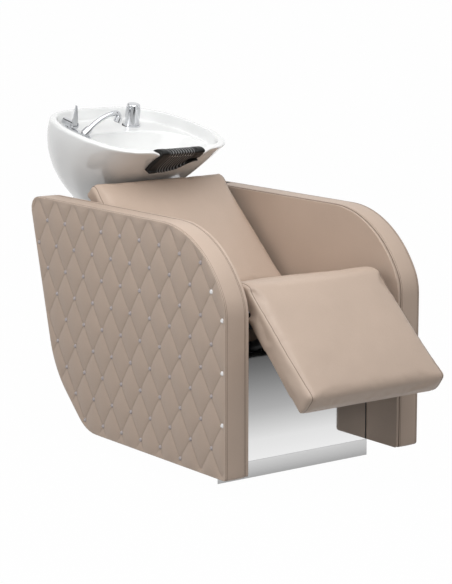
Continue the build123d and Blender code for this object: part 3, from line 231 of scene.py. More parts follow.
class Number:
    """A shader socket that takes part in Python arithmetic."""

    def __init__(self, shade, socket):
        self.shade, self.socket = shade, socket

    def maths(self, operation, *values):
        return self.shade.node("Math", {"operation": operation}, values)

    def __add__(self, other):
        return self.maths("ADD", self, other)

    def __sub__(self, other):
        return self.maths("SUBTRACT", self, other)

    def __mul__(self, other):
        return self.maths("MULTIPLY", self, other)

    def __rsub__(self, other):
        return self.maths("SUBTRACT", other, self)

    __radd__ = __add__
    __rmul__ = __mul__

    def clamp(self):
        """Held between 0 and 1."""
        return self.maths("MINIMUM", self.maths("MAXIMUM", self, 0.0), 1.0)


class Shade:
    """Builds one node material, or the world."""

    def __init__(self, owner, kind="OutputMaterial"):
        self.owner = owner
        owner.use_nodes = True
        self.tree = owner.node_tree
        self.tree.nodes.clear()
        self.output = self.tree.nodes.new("ShaderNode" + kind)

    def link(self, value, socket):
        if isinstance(value, Number):
            self.tree.links.new(value.socket, socket)
        else:
            socket.default_value = value

    def node(self, kind, settings=None, values=(), output=0):
        """Add a node by its type, its settings and the values of its sockets."""
        made = self.tree.nodes.new("ShaderNode" + kind)
        for key, value in (settings or {}).items():
            if key == "stops":
                self.ramp(made.color_ramp.elements, value)
            else:
                setattr(made, key, value)
        pairs = values.items() if isinstance(values, dict) else enumerate(values)
        for key, value in pairs:
            if value is not None:
                self.link(value, made.inputs[key])
        return Number(self, made.outputs[output])

    def ramp(self, elements, stops):
        """Set a ramp's stops, each a (share, grey)."""
        for number, (share, grey) in enumerate(stops):
            element = elements[number] if number < 2 else elements.new(share)
            element.position = share
            element.color = (grey, grey, grey, 1.0)

    def place(self, scale=(1, 1, 1)):
        """Object coordinates, scaled."""
        spot = self.node("TexCoord", output="Object")
        return self.node("Mapping", {}, {"Vector": spot, "Scale": scale})

    def noise(self, where, scale, detail=3.0, roughness=0.5):
        values = {"Vector": where, "Scale": scale, "Detail": detail, "Roughness": roughness}
        return self.node("TexNoise", {}, values)

    def cells(self, where, scale, output="Distance"):
        return self.node("TexVoronoi", {}, {"Vector": where, "Scale": scale}, output)

    def mix(self, factor, first, second, blend="MIX"):
        """Mix two colours."""
        pair = [shade if isinstance(shade, Number) else (*shade, 1.0) for shade in (first, second)]
        values = {0: factor, 6: pair[0], 7: pair[1]}
        return self.node("Mix", {"data_type": "RGBA", "blend_type": blend}, values, 2)

    def bump(self, height, distance, strength=1.0, normal=None):
        values = {"Height": height, "Distance": distance, "Strength": strength, "Normal": normal}
        return self.node("Bump", {}, values)

    def surface(self, **values):
        """Principled surface, linked to the output."""
        named = {key.replace("_", " ").title().replace("Ior", "IOR"): value for key, value in values.items()}
        return self.finish(self.node("BsdfPrincipled", {}, named))

    def finish(self, shader):
        self.tree.links.new(shader.socket, self.output.inputs["Surface"])
        return self.owner


def sizes(name):
    """The scene's group of sizes of that name."""
    return getattr(bpy.context.scene, "backwash_" + name)


def painted(name):
    """A colour of the Finishes group."""
    return tuple(getattr(sizes("finishes"), name))


def tinted(base, share):
    """A colour made lighter or darker."""
    return tuple(min(1.0, part * share) for part in base)


def new_shade(name):
    return Shade(bpy.data.materials.new(name))


def leather(name):
    """Soft full-grain taupe leather: fine pebble, faint pores, slow changes of tone, painted shade along the
    tucks.
    """
    shade = new_shade(name)
    where = shade.place()
    tone = shade.noise(where, 7.0, 3.0)
    pebble = shade.cells(where, 620.0)
    fine = shade.noise(where, 900.0, 2.0)
    crease = shade.noise(where, 55.0, 5.0, 0.6)
    base = painted("leather")
    pits = (1.0 - pebble * 1.6).clamp()
    # Painted shade: the tuck attribute darkens the leather's colour along the quilting's stitch lines.
    tuck = shade.node("Attribute", {"attribute_name": "tuck"}, (), "Fac")
    body = shade.mix(tone, tinted(base, 0.92), tinted(base, 1.06))
    body = shade.mix(pits * 0.20, body, tinted(base, 0.62))
    body = shade.mix(tuck * 0.30, body, tinted(base, 0.50))
    grain = shade.bump(pebble * 0.7 + fine * 0.3, 0.00035, 0.55)
    grain = shade.bump(crease, 0.0009, 0.16, grain)
    rough = 0.40 + tone * 0.10 + pits * 0.10
    return shade.surface(base_color=body, roughness=rough, normal=grain, specular_ior_level=0.42)


def thread(name):
    """Waxed sewing thread in a seam."""
    shade = new_shade(name)
    ply = shade.noise(shade.place(), 1500.0, 2.0)
    base = painted("thread")
    body = shade.mix(ply, tinted(base, 0.7), tinted(base, 1.25))
    return shade.surface(base_color=body, roughness=0.55 + ply * 0.2, normal=shade.bump(ply, 0.0002, 0.4))


def glaze(name):
    """White vitreous glaze over ceramic, with the slow ripple of a fired surface."""
    shade = new_shade(name)
    where = shade.place()
    wave = shade.noise(where, 9.0, 2.0)
    speck = shade.noise(where, 240.0, 2.0)
    base = painted("glaze")
    body = shade.mix(wave, base, tinted(base, 0.975))
    return shade.surface(base_color=body, roughness=0.10 + speck * 0.03, coat_weight=0.6,
                         coat_roughness=0.03, normal=shade.bump(wave, 0.0012, 0.10),
                         specular_ior_level=0.55)


def rubber(name):
    """Soft black moulded rubber with a faint bloom."""
    shade = new_shade(name)
    where = shade.place()
    bloom = shade.noise(where, 30.0, 4.0)
    fine = shade.noise(where, 1400.0, 2.0)
    base = painted("rubber")
    body = shade.mix(bloom, base, tuple(part + 0.004 for part in base))
    return shade.surface(base_color=body, roughness=0.34 + bloom * 0.16, specular_ior_level=0.22,
                         normal=shade.bump(fine, 0.0002, 0.35))


def ribbed_rubber(name):
    """The neck rest's rubber, with a painted highlight on the crests of its upright ribs."""
    shade = new_shade(name)
    where = shade.place()
    x = shade.node("SeparateXYZ", {}, (where,))
    b, sharp = sizes("basin"), 160.0
    crest = x.maths("COSINE", (x - b.rib_crest) * (2 * math.pi / b.rib_pitch)).clamp()
    ribs = ((x - b.rib_low) * sharp).clamp() * ((b.rib_high - x) * sharp).clamp()
    fine = shade.noise(where, 1400.0, 2.0)
    base = painted("rubber")
    # Painted highlight: the rib crests are lighter in colour where light would catch them.
    body = shade.mix(crest * ribs, base, (0.200, 0.200, 0.200))
    return shade.surface(base_color=body, roughness=0.36 + fine * 0.10, specular_ior_level=0.22,
                         normal=shade.bump(fine, 0.0002, 0.35))


def polished(name):
    """Polished metal with the faint haze of handling."""
    shade = new_shade(name)
    base = painted("chrome")
    haze = shade.noise(shade.place(), 45.0, 4.0)
    body = shade.mix(haze, base, tinted(base, 0.94))
    return shade.surface(base_color=body, metallic=1.0, roughness=0.04 + haze * 0.05,
                         normal=shade.bump(haze, 0.0003, 0.05))


def painted_shade_by_height(shade, stops):
    """Painted shade: a grey that changes with the height above the floor; stops are (height, grey)."""
    spot = shade.node("TexCoord", output="Object")
    height = shade.node("SeparateXYZ", {}, (spot,), "Z")
    low, high = stops[0][0], stops[-1][0]
    shares = [((place - low) / (high - low), grey) for place, grey in stops]
    return shade.node("ValToRGB", {"stops": shares}, ((height - low) * (1.0 / (high - low)),))


def mirror(name):
    """Mirror-polished stainless sheet with painted shade, its colour darkening upwards to the shadow of the
    leg rest.
    """
    shade = new_shade(name)
    # Painted shade: the sheet's colour darkens from its foot up to the leg rest.
    stops = ((0.05, 0.84), (0.11, 0.76), (0.20, 0.42), (0.27, 0.26), (0.32, 0.16), (0.365, 0.09))
    tone = painted_shade_by_height(shade, stops)
    haze = shade.noise(shade.place(), 45.0, 4.0)
    body = shade.mix(haze, tone, (0.5, 0.5, 0.5), "SOFT_LIGHT")
    return shade.surface(base_color=body, metallic=1.0, roughness=0.03 + haze * 0.04,
                         normal=shade.bump(haze, 0.0003, 0.04))


def brushed(name):
    """Stainless sheet brushed along X, with painted shade that darkens it towards the floor."""
    shade = new_shade(name)
    lines = shade.noise(shade.place((4.0, 900.0, 900.0)), 1.0, 3.0)
    cloud = shade.noise(shade.place(), 6.0, 2.0)
    # Painted shade: the plinth's colour darkens from its upper edge down to the floor.
    tone = painted_shade_by_height(shade, ((0.0, 0.34), (0.022, 0.50), (0.05, 0.66)))
    body = shade.mix(lines * 0.25, tone, painted("steel"))
    return shade.surface(base_color=body, metallic=1.0, roughness=0.26 + lines * 0.14 + cloud * 0.05,
                         normal=shade.bump(lines, 0.00015, 0.30))


def plated(name):
    """Zinc-plated steel with a faint spangle."""
    shade = new_shade(name)
    where = shade.place()
    spangle = shade.cells(where, 180.0, "Color")
    fleck = shade.noise(where, 70.0, 4.0)
    body = shade.mix(0.25, (0.60, 0.61, 0.63), spangle, "SOFT_LIGHT")
    return shade.surface(base_color=body, metallic=0.9, roughness=0.30 + fleck * 0.18,
                         normal=shade.bump(fleck, 0.0003, 0.15))


def coated(name, base, rough=0.42, grain=700.0, depth=0.0003):
    """Powder coat or moulded plastic with a fine texture."""
    shade = new_shade(name)
    where = shade.place()
    skin = shade.noise(where, grain, 3.0)
    dust = shade.noise(where, 12.0, 4.0)
    body = shade.mix(dust, base, tuple(part * 1.25 + 0.004 for part in base))
    return shade.surface(base_color=body, roughness=rough + dust * 0.12,
                         normal=shade.bump(skin, depth, 0.35))


def black_coat(name):
    """Black powder coat of the steel frame."""
    return coated(name, painted("paint"))


def plywood(name):
    """Bare birch plywood."""
    shade = new_shade(name)
    ring = shade.noise(shade.place((1.0, 14.0, 14.0)), 3.0, 6.0, 0.62)
    fibre = shade.noise(shade.place((6.0, 220.0, 220.0)), 1.0, 3.0)
    body = shade.mix(ring, (0.36, 0.22, 0.12), (0.62, 0.44, 0.27))
    return shade.surface(base_color=body, roughness=0.62 + fibre * 0.15,
                         normal=shade.bump(fibre, 0.0003, 0.3))


def crystal(name, low=(0.70, 0.70, 0.70), high=(0.92, 0.92, 0.92), metallic=0.4):
    """Cut crystal on a foil back, so it glints without being seen through."""
    shade = new_shade(name)
    spark = shade.noise(shade.place(), 800.0, 2.0)
    body = shade.mix(spark, low, high)
    return shade.surface(base_color=body, metallic=metallic, roughness=0.06 + spark * 0.08, coat_weight=0.5,
                         coat_roughness=0.02)


def dust_cloth(name):
    """Black woven cloth stapled under the cushions."""
    shade = new_shade(name)
    weave = shade.cells(shade.place(), 900.0)
    lint = shade.noise(shade.place(), 60.0, 4.0)
    body = shade.mix(lint, (0.006, 0.006, 0.006), (0.012, 0.012, 0.012))
    return shade.surface(base_color=body, roughness=0.80 + lint * 0.15,
                         normal=shade.bump(weave, 0.0003, 0.4))


# What makes each material, with the values it takes after the name.
MAKERS = {
    "upholstery_leather": (leather,), "seam_thread": (thread,), "white_glaze": (glaze,),
    "black_rubber": (rubber,), "ribbed_rubber": (ribbed_rubber,), "polished_chrome": (polished,),
    "mirror_sheet": (mirror,), "brushed_sheet": (brushed,), "zinc_plate": (plated,),
    "black_coat": (black_coat,), "grey_coat": (coated, (0.165, 0.150, 0.138), 0.38),
    "moulded_black": (coated, (0.010, 0.010, 0.011), 0.34, 1100.0, 0.0004),
    "moulded_grey": (coated, (0.105, 0.110, 0.118), 0.40, 900.0, 0.0004),
    "natural_nylon": (coated, (0.66, 0.65, 0.60), 0.36, 500.0, 0.0002), "birch_plywood": (plywood,),
    "cut_crystal": (crystal,), "dust_cloth": (dust_cloth,),
    "smoked_crystal": (crystal, (0.30, 0.265, 0.262), (0.46, 0.415, 0.41), 0.1),
}

CARRIED = {
    "birch_plywood": ("side_core_right", "side_core_left"),
    "dust_cloth": ("seat_board", "backrest_board", "legrest_board"),
    "black_coat": ("frame_side_right", "frame_side_left", "floor_rails", "cross_rails", "seat_rails",
                   "backrest_rails", "basin_beam", "actuator_bracket", "legrest_frame", "basin_cradle"),
    "zinc_plate": ("legrest_lever", "legrest_shaft", "actuator_pin", "tilt_pins", "cover_screws"),
    "natural_nylon": ("hinge_bushes", "tilt_bushes"),
    "mirror_sheet": ("front_panel",),
    "brushed_sheet": ("kick_plinth",),
    "grey_coat": ("rear_cover",),
    "moulded_black": ("cable_gland", "control_box", "actuator_motor", "switch_frame", "switch_rocker",
                      "spray_face"),
    "moulded_grey": ("actuator_housing", "waste_tail"),
    "polished_chrome": ("actuator_rod", "waste_flange", "hair_strainer", "mixer_body", "mixer_hub",
                        "mixer_lever", "handset_socket", "handset_ferrule", "handset", "breaker_body",
                        "breaker_cap"),
}


def finish(name):
    """The material of that name, made on its first use."""
    maker, *values = MAKERS[name]
    return bpy.data.materials.get(name) or maker(name, *values)


def placed(name, data):
    """A new object in the scene."""
    made = bpy.data.objects.new(name, data)
    bpy.context.scene.collection.objects.link(made)
    return made


def mesh_from(name, bm):
    """Mesh of a bmesh, which is then freed."""
    mesh = bpy.data.meshes.new(name)
    bm.to_mesh(mesh)
    bm.free()
    return mesh


def evaluated(holder):
    """Mesh of an object as its modifiers leave it; the object is thrown away."""
    graph = bpy.context.evaluated_depsgraph_get()
    made = bpy.data.meshes.new_from_object(holder.evaluated_get(graph))
    bpy.data.objects.remove(holder)
    return made


def piece(name, shape, body, material, replaced=(), smooth=True):
    """Turn a bmesh or mesh into an object that rides on a body."""
    mesh = mesh_from(name, shape) if isinstance(shape, bmesh.types.BMesh) else shape
    mesh.name = name
    mesh.polygons.foreach_set("use_smooth", [smooth] * len(mesh.polygons))
    mesh.materials.clear()
    mesh.materials.append(finish(material))
    made = placed(name, mesh)
    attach(made, body)
    if replaced:
        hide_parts(*replaced)
    return made


def softened(made):
    """Subdivide an object once."""
    soft = made.modifiers.new("Soft", "SUBSURF")
    soft.levels = soft.render_levels = 1


def modified(mesh, kind, **settings):
    """The mesh as one modifier leaves it."""
    holder = placed("holder", mesh)
    modifier = holder.modifiers.new(kind.title(), kind)
    for key, value in settings.items():
        setattr(modifier, key, value)
    return evaluated(holder)


def new_curve(kind, count):
    """A closed curve with one spline of so many points."""
    curve = bpy.data.curves.new("path", "CURVE")
    curve.dimensions = "3D"
    spline = curve.splines.new(kind)
    knots = spline.bezier_points if kind == "BEZIER" else spline.points
    knots.add(count - 1)
    spline.use_cyclic_u = True
    return curve, knots


def from_curve(curve):
    """Mesh of a curve, which is then thrown away."""
    made = evaluated(placed("path", curve))
    bpy.data.curves.remove(curve)
    return made


def add_tube(bm, points, radius):
    """Add a closed round cord through points."""
    curve, knots = new_curve("POLY", len(points))
    curve.bevel_depth = radius
    curve.bevel_resolution = 1
    for knot, place in zip(knots, points):
        knot.co = (*place, 1.0)
    mesh = from_curve(curve)
    bm.from_mesh(mesh)
    bpy.data.meshes.remove(mesh)


def smooth_step(value):
    """Ease from 0 to 1."""
    value = min(1.0, max(0.0, value))
    return value * value * (3.0 - 2.0 * value)


def outline_corners():
    """Corners of a side panel in the plane x = 0, with their radii."""
    p = sizes("panel")
    corners = [(0.0, p.bottom, p.toe_radius), (0.0, p.bend_z, p.bend_radius),
               (p.shoulder_y, p.top, p.shoulder_radius), (p.rear_y, p.top, p.rear_radius),
               (p.elbow_y, p.elbow_z, p.elbow_radius), (p.foot_y, p.bottom, p.foot_radius)]
    return [(Vector((0.0, p.front_y + y, z)), radius) for y, z, radius in corners]


def around(loop):
    """Each item of a closed loop with the next one."""
    return zip(loop, loop[1:] + loop[:1])


def outline(step, divided=True):
    """Points round a side panel and their outward normals; each corner is spun about its centre."""
    places = outline_corners()
    bm = bmesh.new()
    loop = []
    for index, (corner, radius) in enumerate(places):
        before = (places[index - 1][0] - corner).normalized()
        after = (places[(index + 1) % len(places)][0] - corner).normalized()
        turn = math.pi - before.angle(after)
        centre = corner + (before + after).normalized() * (radius / math.cos(turn / 2))
        start = bm.verts.new(corner + before * (radius * math.tan(turn / 2)))
        known = len(bm.verts)
        steps = max(4, math.ceil(turn * radius / step))
        bmesh.ops.spin(bm, geom=[start], cent=centre, axis=(-1, 0, 0), angle=turn, steps=steps)
        loop += [vert.co.copy() for vert in [start] + list(bm.verts)[known:]]
    bm.free()
    points = loop
    if divided:
        points = []
        for here, there in around(loop):
            count = max(1, round((there - here).length / step))
            points += [here.lerp(there, k / count) for k in range(count)]
    normals = []
    for before, after in zip(points[-1:] + points[:-1], points[1:] + points[:1]):
        along = (after - before).normalized()
        normals.append(Vector((0.0, -along.z, along.y)))
    return points, normals


class Border:
    """Distance and direction to a side panel's outline."""

    def __init__(self):
        self.points, self.normals = outline(0.003)
        self.tree = KDTree(len(self.points))
        for index, point in enumerate(self.points):
            self.tree.insert(point, index)
        self.tree.balance()

    def normal(self, place):
        return self.normals[self.tree.find(Vector((0.0, place.y, place.z)))[1]]

    def inside(self, place):
        """How far a place lies inside the outline."""
        flat = Vector((0.0, place.y, place.z))
        point, index = self.tree.find(flat)[:2]
        return (point - flat).dot(self.normals[index])


def ring_edges(bm, points):
    """Closed loop of edges through points."""
    verts = [bm.verts.new(point) for point in points]
    return [bm.edges.new(pair) for pair in around(verts)]


def only(items, kind):
    """The points, or the edges, among what an operator gives."""
    return [item for item in items if isinstance(item, kind)]


def edges_of(verts):
    """Edges at these points, in the order in which they are met."""
    return list(dict.fromkeys(edge for vert in verts for edge in vert.link_edges))


def skin(bm, rings, closed=False):
    """Bridge each ring of edges to the next."""
    pairs = list(zip(rings, rings[1:]))
    if closed:
        pairs.append((rings[-1], rings[0]))
    for first, second in pairs:
        bmesh.ops.bridge_loops(bm, edges=first + second)


def capped(bm, rings):
    """Close both ends of a skin."""
    for ring in (rings[0], rings[-1]):
        bmesh.ops.holes_fill(bm, edges=ring, sides=0)


def swept_outline(bm, section, centre_x, closed):
    """Skin along the panel's outline: each (x, outward) of the section is one ring."""
    points, normals = outline(0.012)
    rings = []
    for x, outward in section:
        aside = Vector((centre_x + x, 0.0, 0.0))
        rings.append(ring_edges(bm, [p + n * outward + aside for p, n in zip(points, normals)]))
    skin(bm, rings, closed)
    return rings


def sliced(bm, place, normal, clear=False):
    """Cut by a plane, with what lies beyond it cleared if asked; gives the new points and edges."""
    return bmesh.ops.bisect_plane(bm, geom=bm.verts[:] + bm.edges[:] + bm.faces[:], dist=1e-6,
                                  plane_co=place, plane_no=normal, clear_outer=clear)["geom_cut"]


def closed_shape(bm):
    """Merge what touches and point every face outwards."""
    bmesh.ops.remove_doubles(bm, verts=bm.verts, dist=1e-6)
    bmesh.ops.recalc_face_normals(bm, faces=bm.faces)
    return bm


def quarter(radius, steps=4):
    """Rolled edge as (outward, inward) moves from the face to the flank."""
    angles = [math.pi / 2 * k / steps for k in range(1, steps + 1)]
    return [(radius * math.sin(a), radius * (1 - math.cos(a))) for a in angles]


def droop(y):
    """How far the quilting's rows fall at a distance behind the front edge."""
    q = sizes("quilt")
    return q.droop * smooth_step((q.droop_start - y) / q.droop_run)


def quilt_place(s, t):
    """Point of the outer face where two diagonals, numbered s and t, cross."""
    q = sizes("quilt")
    y = q.first_y + q.width * (s + t) / 2
    z = q.first_z + q.height * (s - t) / 2
    return Vector((0.0, sizes("panel").front_y + y, z - droop(y)))


def quilt_numbers(place):
    """Numbers of the two diagonals through a point of the outer face."""
    q = sizes("quilt")
    y = place.y - sizes("panel").front_y
    across = (y - q.first_y) / q.width
    up = (place.z + droop(y) - q.first_z) / q.height
    return across + up, across - up


def quilt_height(place, inside):
    """Rise of the leather over its stitching, and how deep in a tuck the place lies, which sets the tuck's
    painted shade.
    """
    q = sizes("quilt")
    pitch = q.width * q.height / math.hypot(q.width, q.height)
    parts = [number - math.floor(number) for number in quilt_numbers(place)]
    gaps = [min(part, 1 - part) * pitch for part in parts]
    lift = [1 - math.exp(-gap / q.shoulder) for gap in gaps]
    dome = math.sin(math.pi * parts[0]) * math.sin(math.pi * parts[1])
    height = q.puff * (q.pillow * lift[0] * lift[1] + (1.0 - q.pillow) * dome)
    height -= q.dimple * math.exp(-(math.hypot(*gaps) / q.dimple_reach) ** 2)
    edge = smooth_step(inside / q.edge_run)
    # Nearness to a stitch line, as the mask of the painted shade in the tucks.
    tuck = math.exp(-(min(gaps) / q.tuck) ** 2) * edge
    level = q.edge_level * q.puff
    return level + (height - level) * edge, tuck


def quilted_sheet(border):
    """Flat mesh of the outer face with a mesh line on every stitch line, cut to the outline."""
    q, p = sizes("quilt"), sizes("panel")
    cells = 16
    bm = bmesh.new()
    bmesh.ops.create_grid(bm, x_segments=cells * q.steps, y_segments=cells * q.steps, size=cells / 2)

    def warp(value):
        part = value - math.floor(value)
        return math.floor(value) + part - 0.75 * math.sin(2 * math.pi * part) / (2 * math.pi)
    for vert in bm.verts:
        vert.co = quilt_place(7.0 + warp(vert.co.x), 3.0 + warp(vert.co.y))
    far = [vert for vert in bm.verts if border.inside(vert.co) < -0.06]
    bmesh.ops.delete(bm, geom=far, context="VERTS")
    points = outline(0.02, divided=False)[0]
    for here, there in around(points):
        run = there - here
        out = Vector((0.0, -run.z, run.y)).normalized()
        sliced(bm, here - out * p.roll, out, True)
    return bm


def quilted_pad(side):
    """One quilted outer pad: raised diamonds, rolled edge and flat back."""
    p, q = sizes("panel"), sizes("quilt")
    border = Border()
    bm = quilted_sheet(border)
    # This layer carries the painted shade of the tucks to the leather's colour.
    layer = bm.verts.layers.float.new("tuck")
    for vert in bm.verts:
        height, tuck = quilt_height(vert.co, border.inside(vert.co) - p.roll)
        vert[layer] = tuck
        vert.co.x = p.outer_x - q.puff + height
    moves = quarter(p.roll)
    steps = [(a[0] - b[0], a[1] - b[1]) for a, b in zip(moves, [(0.0, 0.0)] + moves[:-1])]
    steps += [(-0.002, 0.0005), (-0.001, p.pad_depth - p.roll - 0.0005 - q.puff)]
    edges = [edge for edge in bm.edges if edge.is_boundary]
    for outward, inward in steps:
        made = bmesh.ops.extrude_edge_only(bm, edges=edges)["geom"]
        for vert in only(made, bmesh.types.BMVert):
            vert[layer] = 0.0
            vert.co += border.normal(vert.co) * outward - Vector((inward, 0.0, 0.0))
        edges = [edge for edge in only(made, bmesh.types.BMEdge) if edge.is_boundary]
    bmesh.ops.holes_fill(bm, edges=edges, sides=0)
    if side < 0:
        bmesh.ops.scale(bm, vec=(-1, 1, 1), verts=bm.verts)
    return closed_shape(bm)


def crystal_buttons(side, clear):
    """Cut crystals on the crossings: the clear ones by the front edge, or the smoked ones."""
    p, q = sizes("panel"), sizes("quilt")
    border = Border()
    bm = bmesh.new()
    spots = [quilt_place(s, t) for s in range(-1, 16) for t in range(-5, 12)]
    for spot in [spot for spot in spots if border.inside(spot) > q.margin]:
        front = border.inside(spot) < q.clear_reach and spot.y - p.front_y < q.width
        if front != clear:
            continue
        size = q.crystal if clear else q.crystal * 0.95
        place = Vector((side * (p.outer_x - q.puff + q.crystal_lift), spot.y, spot.z))
        matrix = Matrix.Translation(place) @ Matrix.Rotation(side * math.pi / 2, 4, "Y")
        bmesh.ops.create_cone(bm, cap_ends=True, segments=8, radius1=size, radius2=size * 0.5,
                              depth=q.crystal_height, matrix=matrix)
    return bm


def edge_band(side):
    """Crowned leather band round a panel's edge."""
    p = sizes("panel")
    half, crown = p.band_half, p.band_crown
    rise = [(0.0, -p.band_lip), (0.0, -0.0010), (0.0003, -0.0003), (0.0010, 0.0), (0.012, 0.7 * crown),
            (half, crown)]
    left = [(x - half, y) for x, y in rise]
    section = left + [(-x, y) for x, y in left[-2::-1]]
    bm = bmesh.new()
    swept_outline(bm, section, side * (p.outer_x + p.inner_x) / 2, True)
    return closed_shape(bm)


def pocketed(bm, low, high):
    """The shape with a box-shaped pocket cut in it."""
    block = bmesh.new()
    middle = (low + high) / 2
    matrix = Matrix.Translation(middle) @ Matrix.Diagonal((*(high - low), 1.0))
    bmesh.ops.create_cube(block, size=1.0, matrix=matrix)
    knife = placed("knife", mesh_from("cutter", block))
    made = modified(mesh_from("band", bm), "BOOLEAN", object=knife, operation="DIFFERENCE", solver="EXACT")
    bpy.data.objects.remove(knife)
    return made


def inner_pad(side):
    """Plain padded inner face of a panel with a rolled edge."""
    p = sizes("panel")
    section = [(0.0, -p.roll - 0.002)]
    section += [(inward, outward - p.roll) for outward, inward in [(0.0, 0.0)] + quarter(p.roll)]
    section += [(p.roll + p.plate_cover + 0.0020, -0.002), (p.pad_depth, -0.003)]
    bm = bmesh.new()
    face_x = side * (p.inner_x - p.plate_cover)
    rings = swept_outline(bm, [(x * side, outward) for x, outward in section], face_x, False)
    capped(bm, rings)
    return closed_shape(bm)


def panel_seams(side):
    """Seam cords where a panel's pads meet its edge band, and the band's own stitch lines."""
    p = sizes("panel")
    points, normals = outline(0.008)
    middle = (p.outer_x + p.inner_x) / 2
    bm = bmesh.new()
    cords = ((p.band_half, -p.seam_sink, p.seam), (p.band_half - p.stitch_inset, 0.0004, p.seam * 0.5))
    for x, outward, radius in cords:
        for sign in (-1, 1):
            aside = Vector((side * (middle + sign * x), 0.0, 0.0))
            add_tube(bm, [a + n * outward + aside for a, n in zip(points, normals)], radius)
    return bm


def mirror_trims():
    """Black cords where the mirror panel's upright edges meet the inner pads, standing in for the shadow in
    those gaps.
    """
    p = sizes("panel")
    low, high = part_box("front_panel")
    bm = bmesh.new()
    for side in (-1, 1):
        x = side * (p.inner_x - p.plate_cover - 0.0010)
        ends = [Vector((x, low.y - 0.0004, z)) for z in (p.bottom + 0.001, high.z)]
        line = [ends[0].lerp(ends[1], number / 4) for number in range(5)]
        add_bar(bm, line, p.trim)
    return bm


def add_bar(bm, points, radius):
    """Round bar along an open line of points."""
    rings = []
    for point in points:
        made = bmesh.ops.create_circle(bm, segments=10, radius=radius, cap_ends=False,
                                       matrix=Matrix.Translation(point))["verts"]
        rings.append(edges_of(made))
    skin(bm, rings)
    capped(bm, rings)


def node_copy(*names, added=None):
    """A merged copy of the meshes of solids, with what a function adds to it."""
    bm = bmesh.new()
    if added:
        added(bm)
    for name in names:
        bm.from_mesh(nodes[name].data)
    bmesh.ops.remove_doubles(bm, verts=bm.verts, dist=1e-5)
    bmesh.ops.recalc_face_normals(bm, faces=bm.faces)
    return mesh_from(names[0] + "_copy", bm)


def leg_skirt(bm):
    """Blocks under the leg rest's board that carry the leather down its flanks and front."""
    c = sizes("cushion")
    hinge = Matrix.Translation((0.0, c.hinge_y, c.hinge_z)) @ Matrix.Rotation(c.leg_slope, 4, "X")
    low, high = c.leg_under - c.skirt, c.leg_under + c.skirt_lap
    half, wide, end = c.leg_half - c.skirt_inset, c.skirt_wide, c.leg_length - c.skirt_inset
    blocks = [(-half, -half + wide, c.skirt_start, end), (half - wide, half, c.skirt_start, end),
              (-half, half, end - wide, end)]
    for x0, x1, u0, u1 in blocks:
        middle = Matrix.Translation(((x0 + x1) / 2, -(u0 + u1) / 2, (low + high) / 2))
        size = Matrix.Diagonal((x1 - x0, u1 - u0, high - low, 1.0))
        bmesh.ops.create_cube(bm, size=1.0, matrix=hinge @ middle @ size)


def eased(mesh, turns):
    """Smooth a mesh's points."""
    bm = bmesh.new()
    bm.from_mesh(mesh)
    for turn in range(turns):
        bmesh.ops.smooth_vert(bm, verts=bm.verts, factor=0.5, use_axis_x=True, use_axis_y=True,
                              use_axis_z=True)
    bm.to_mesh(mesh)
    bm.free()


def pushed(mesh, amount):
    """Move each point along its normal by what the function gives for its place and normal."""
    normals = [normal.vector.copy() for normal in mesh.vertex_normals]
    for vert, normal in zip(mesh.vertices, normals):
        vert.co += normal * amount(vert.co, normal)
    mesh.update()


def stuffed(mesh, support):
    """Blow the leather up by the pressure of its stuffing, except where it rests on its board."""
    c, scene = sizes("cushion"), bpy.context.scene
    holder = placed("stuffing", mesh)
    cloth = holder.modifiers.new("Cloth", "CLOTH")
    cloth.settings.quality = 4
    cloth.settings.use_pressure = True
    cloth.settings.uniform_pressure_force = c.pressure
    cloth.settings.effector_weights.gravity = 0.0
    cloth.collision_settings.use_collision = False
    frames = 20
    cloth.point_cache.frame_end = frames
    for number in range(1, frames + 1):
        scene.frame_set(number)
    graph = bpy.context.evaluated_depsgraph_get()
    blown = [vert.co.copy() for vert in holder.evaluated_get(graph).data.vertices]
    normals = [normal.vector.copy() for normal in mesh.vertex_normals]
    for vert, place, normal in zip(mesh.vertices, blown, normals):
        step = place - vert.co
        limit = c.reach * (1.0 - smooth_step((normal.dot(support) - 0.3) / 0.5))
        if step.length > limit:
            step *= limit / step.length
        vert.co += step
    bpy.data.objects.remove(holder)
    scene.frame_set(1)
    mesh.update()


def seam_loop(mesh, x):
    """Ordered points of the longest line where a cushion meets a plane across X."""
    bm = bmesh.new()
    bm.from_mesh(mesh)
    cut = sliced(bm, (x, 0, 0), (1, 0, 0))
    edges = set(only(cut, bmesh.types.BMEdge))
    left = dict.fromkeys(only(cut, bmesh.types.BMVert))
    best = []
    while left:
        chain = []
        near = [next(iter(left))]
        while near:
            chain.append(near[0])
            del left[near[0]]
            ends = [edge.other_vert(chain[-1]) for edge in chain[-1].link_edges if edge in edges]
            near = [vert for vert in ends if vert in left]
        best = max(best, chain, key=len)
    points = [vert.co.copy() for vert in best]
    bm.free()
    return points


def cushion_form(node, board, support, seams, added):
    """Leather of a cushion round its board: stuffed, softly folded and drawn in at its seams."""
    c = sizes("cushion")
    mesh = modified(node_copy(node, board, added=added), "REMESH", mode="VOXEL", voxel_size=c.voxel)
    eased(mesh, 4)
    pushed(mesh, lambda place, normal: -c.shrink)
    stuffed(mesh, support)
    eased(mesh, 2)
    pushed(mesh, lambda place, normal: c.plump * (1.0 - max(0.0, normal.dot(support))))

    def fold(place, normal):
        soft = noise.noise(place * 14.0) + 0.5 * noise.noise(place * 33.0)
        return c.crease * soft * (1.0 - max(0.0, normal.dot(support)))
    pushed(mesh, fold)

    def dip(place, normal):
        near = min(abs(place.x - x) for x in seams)
        return -c.groove * math.exp(-(near / c.groove_half) ** 2)
    pushed(mesh, dip)
    return mesh


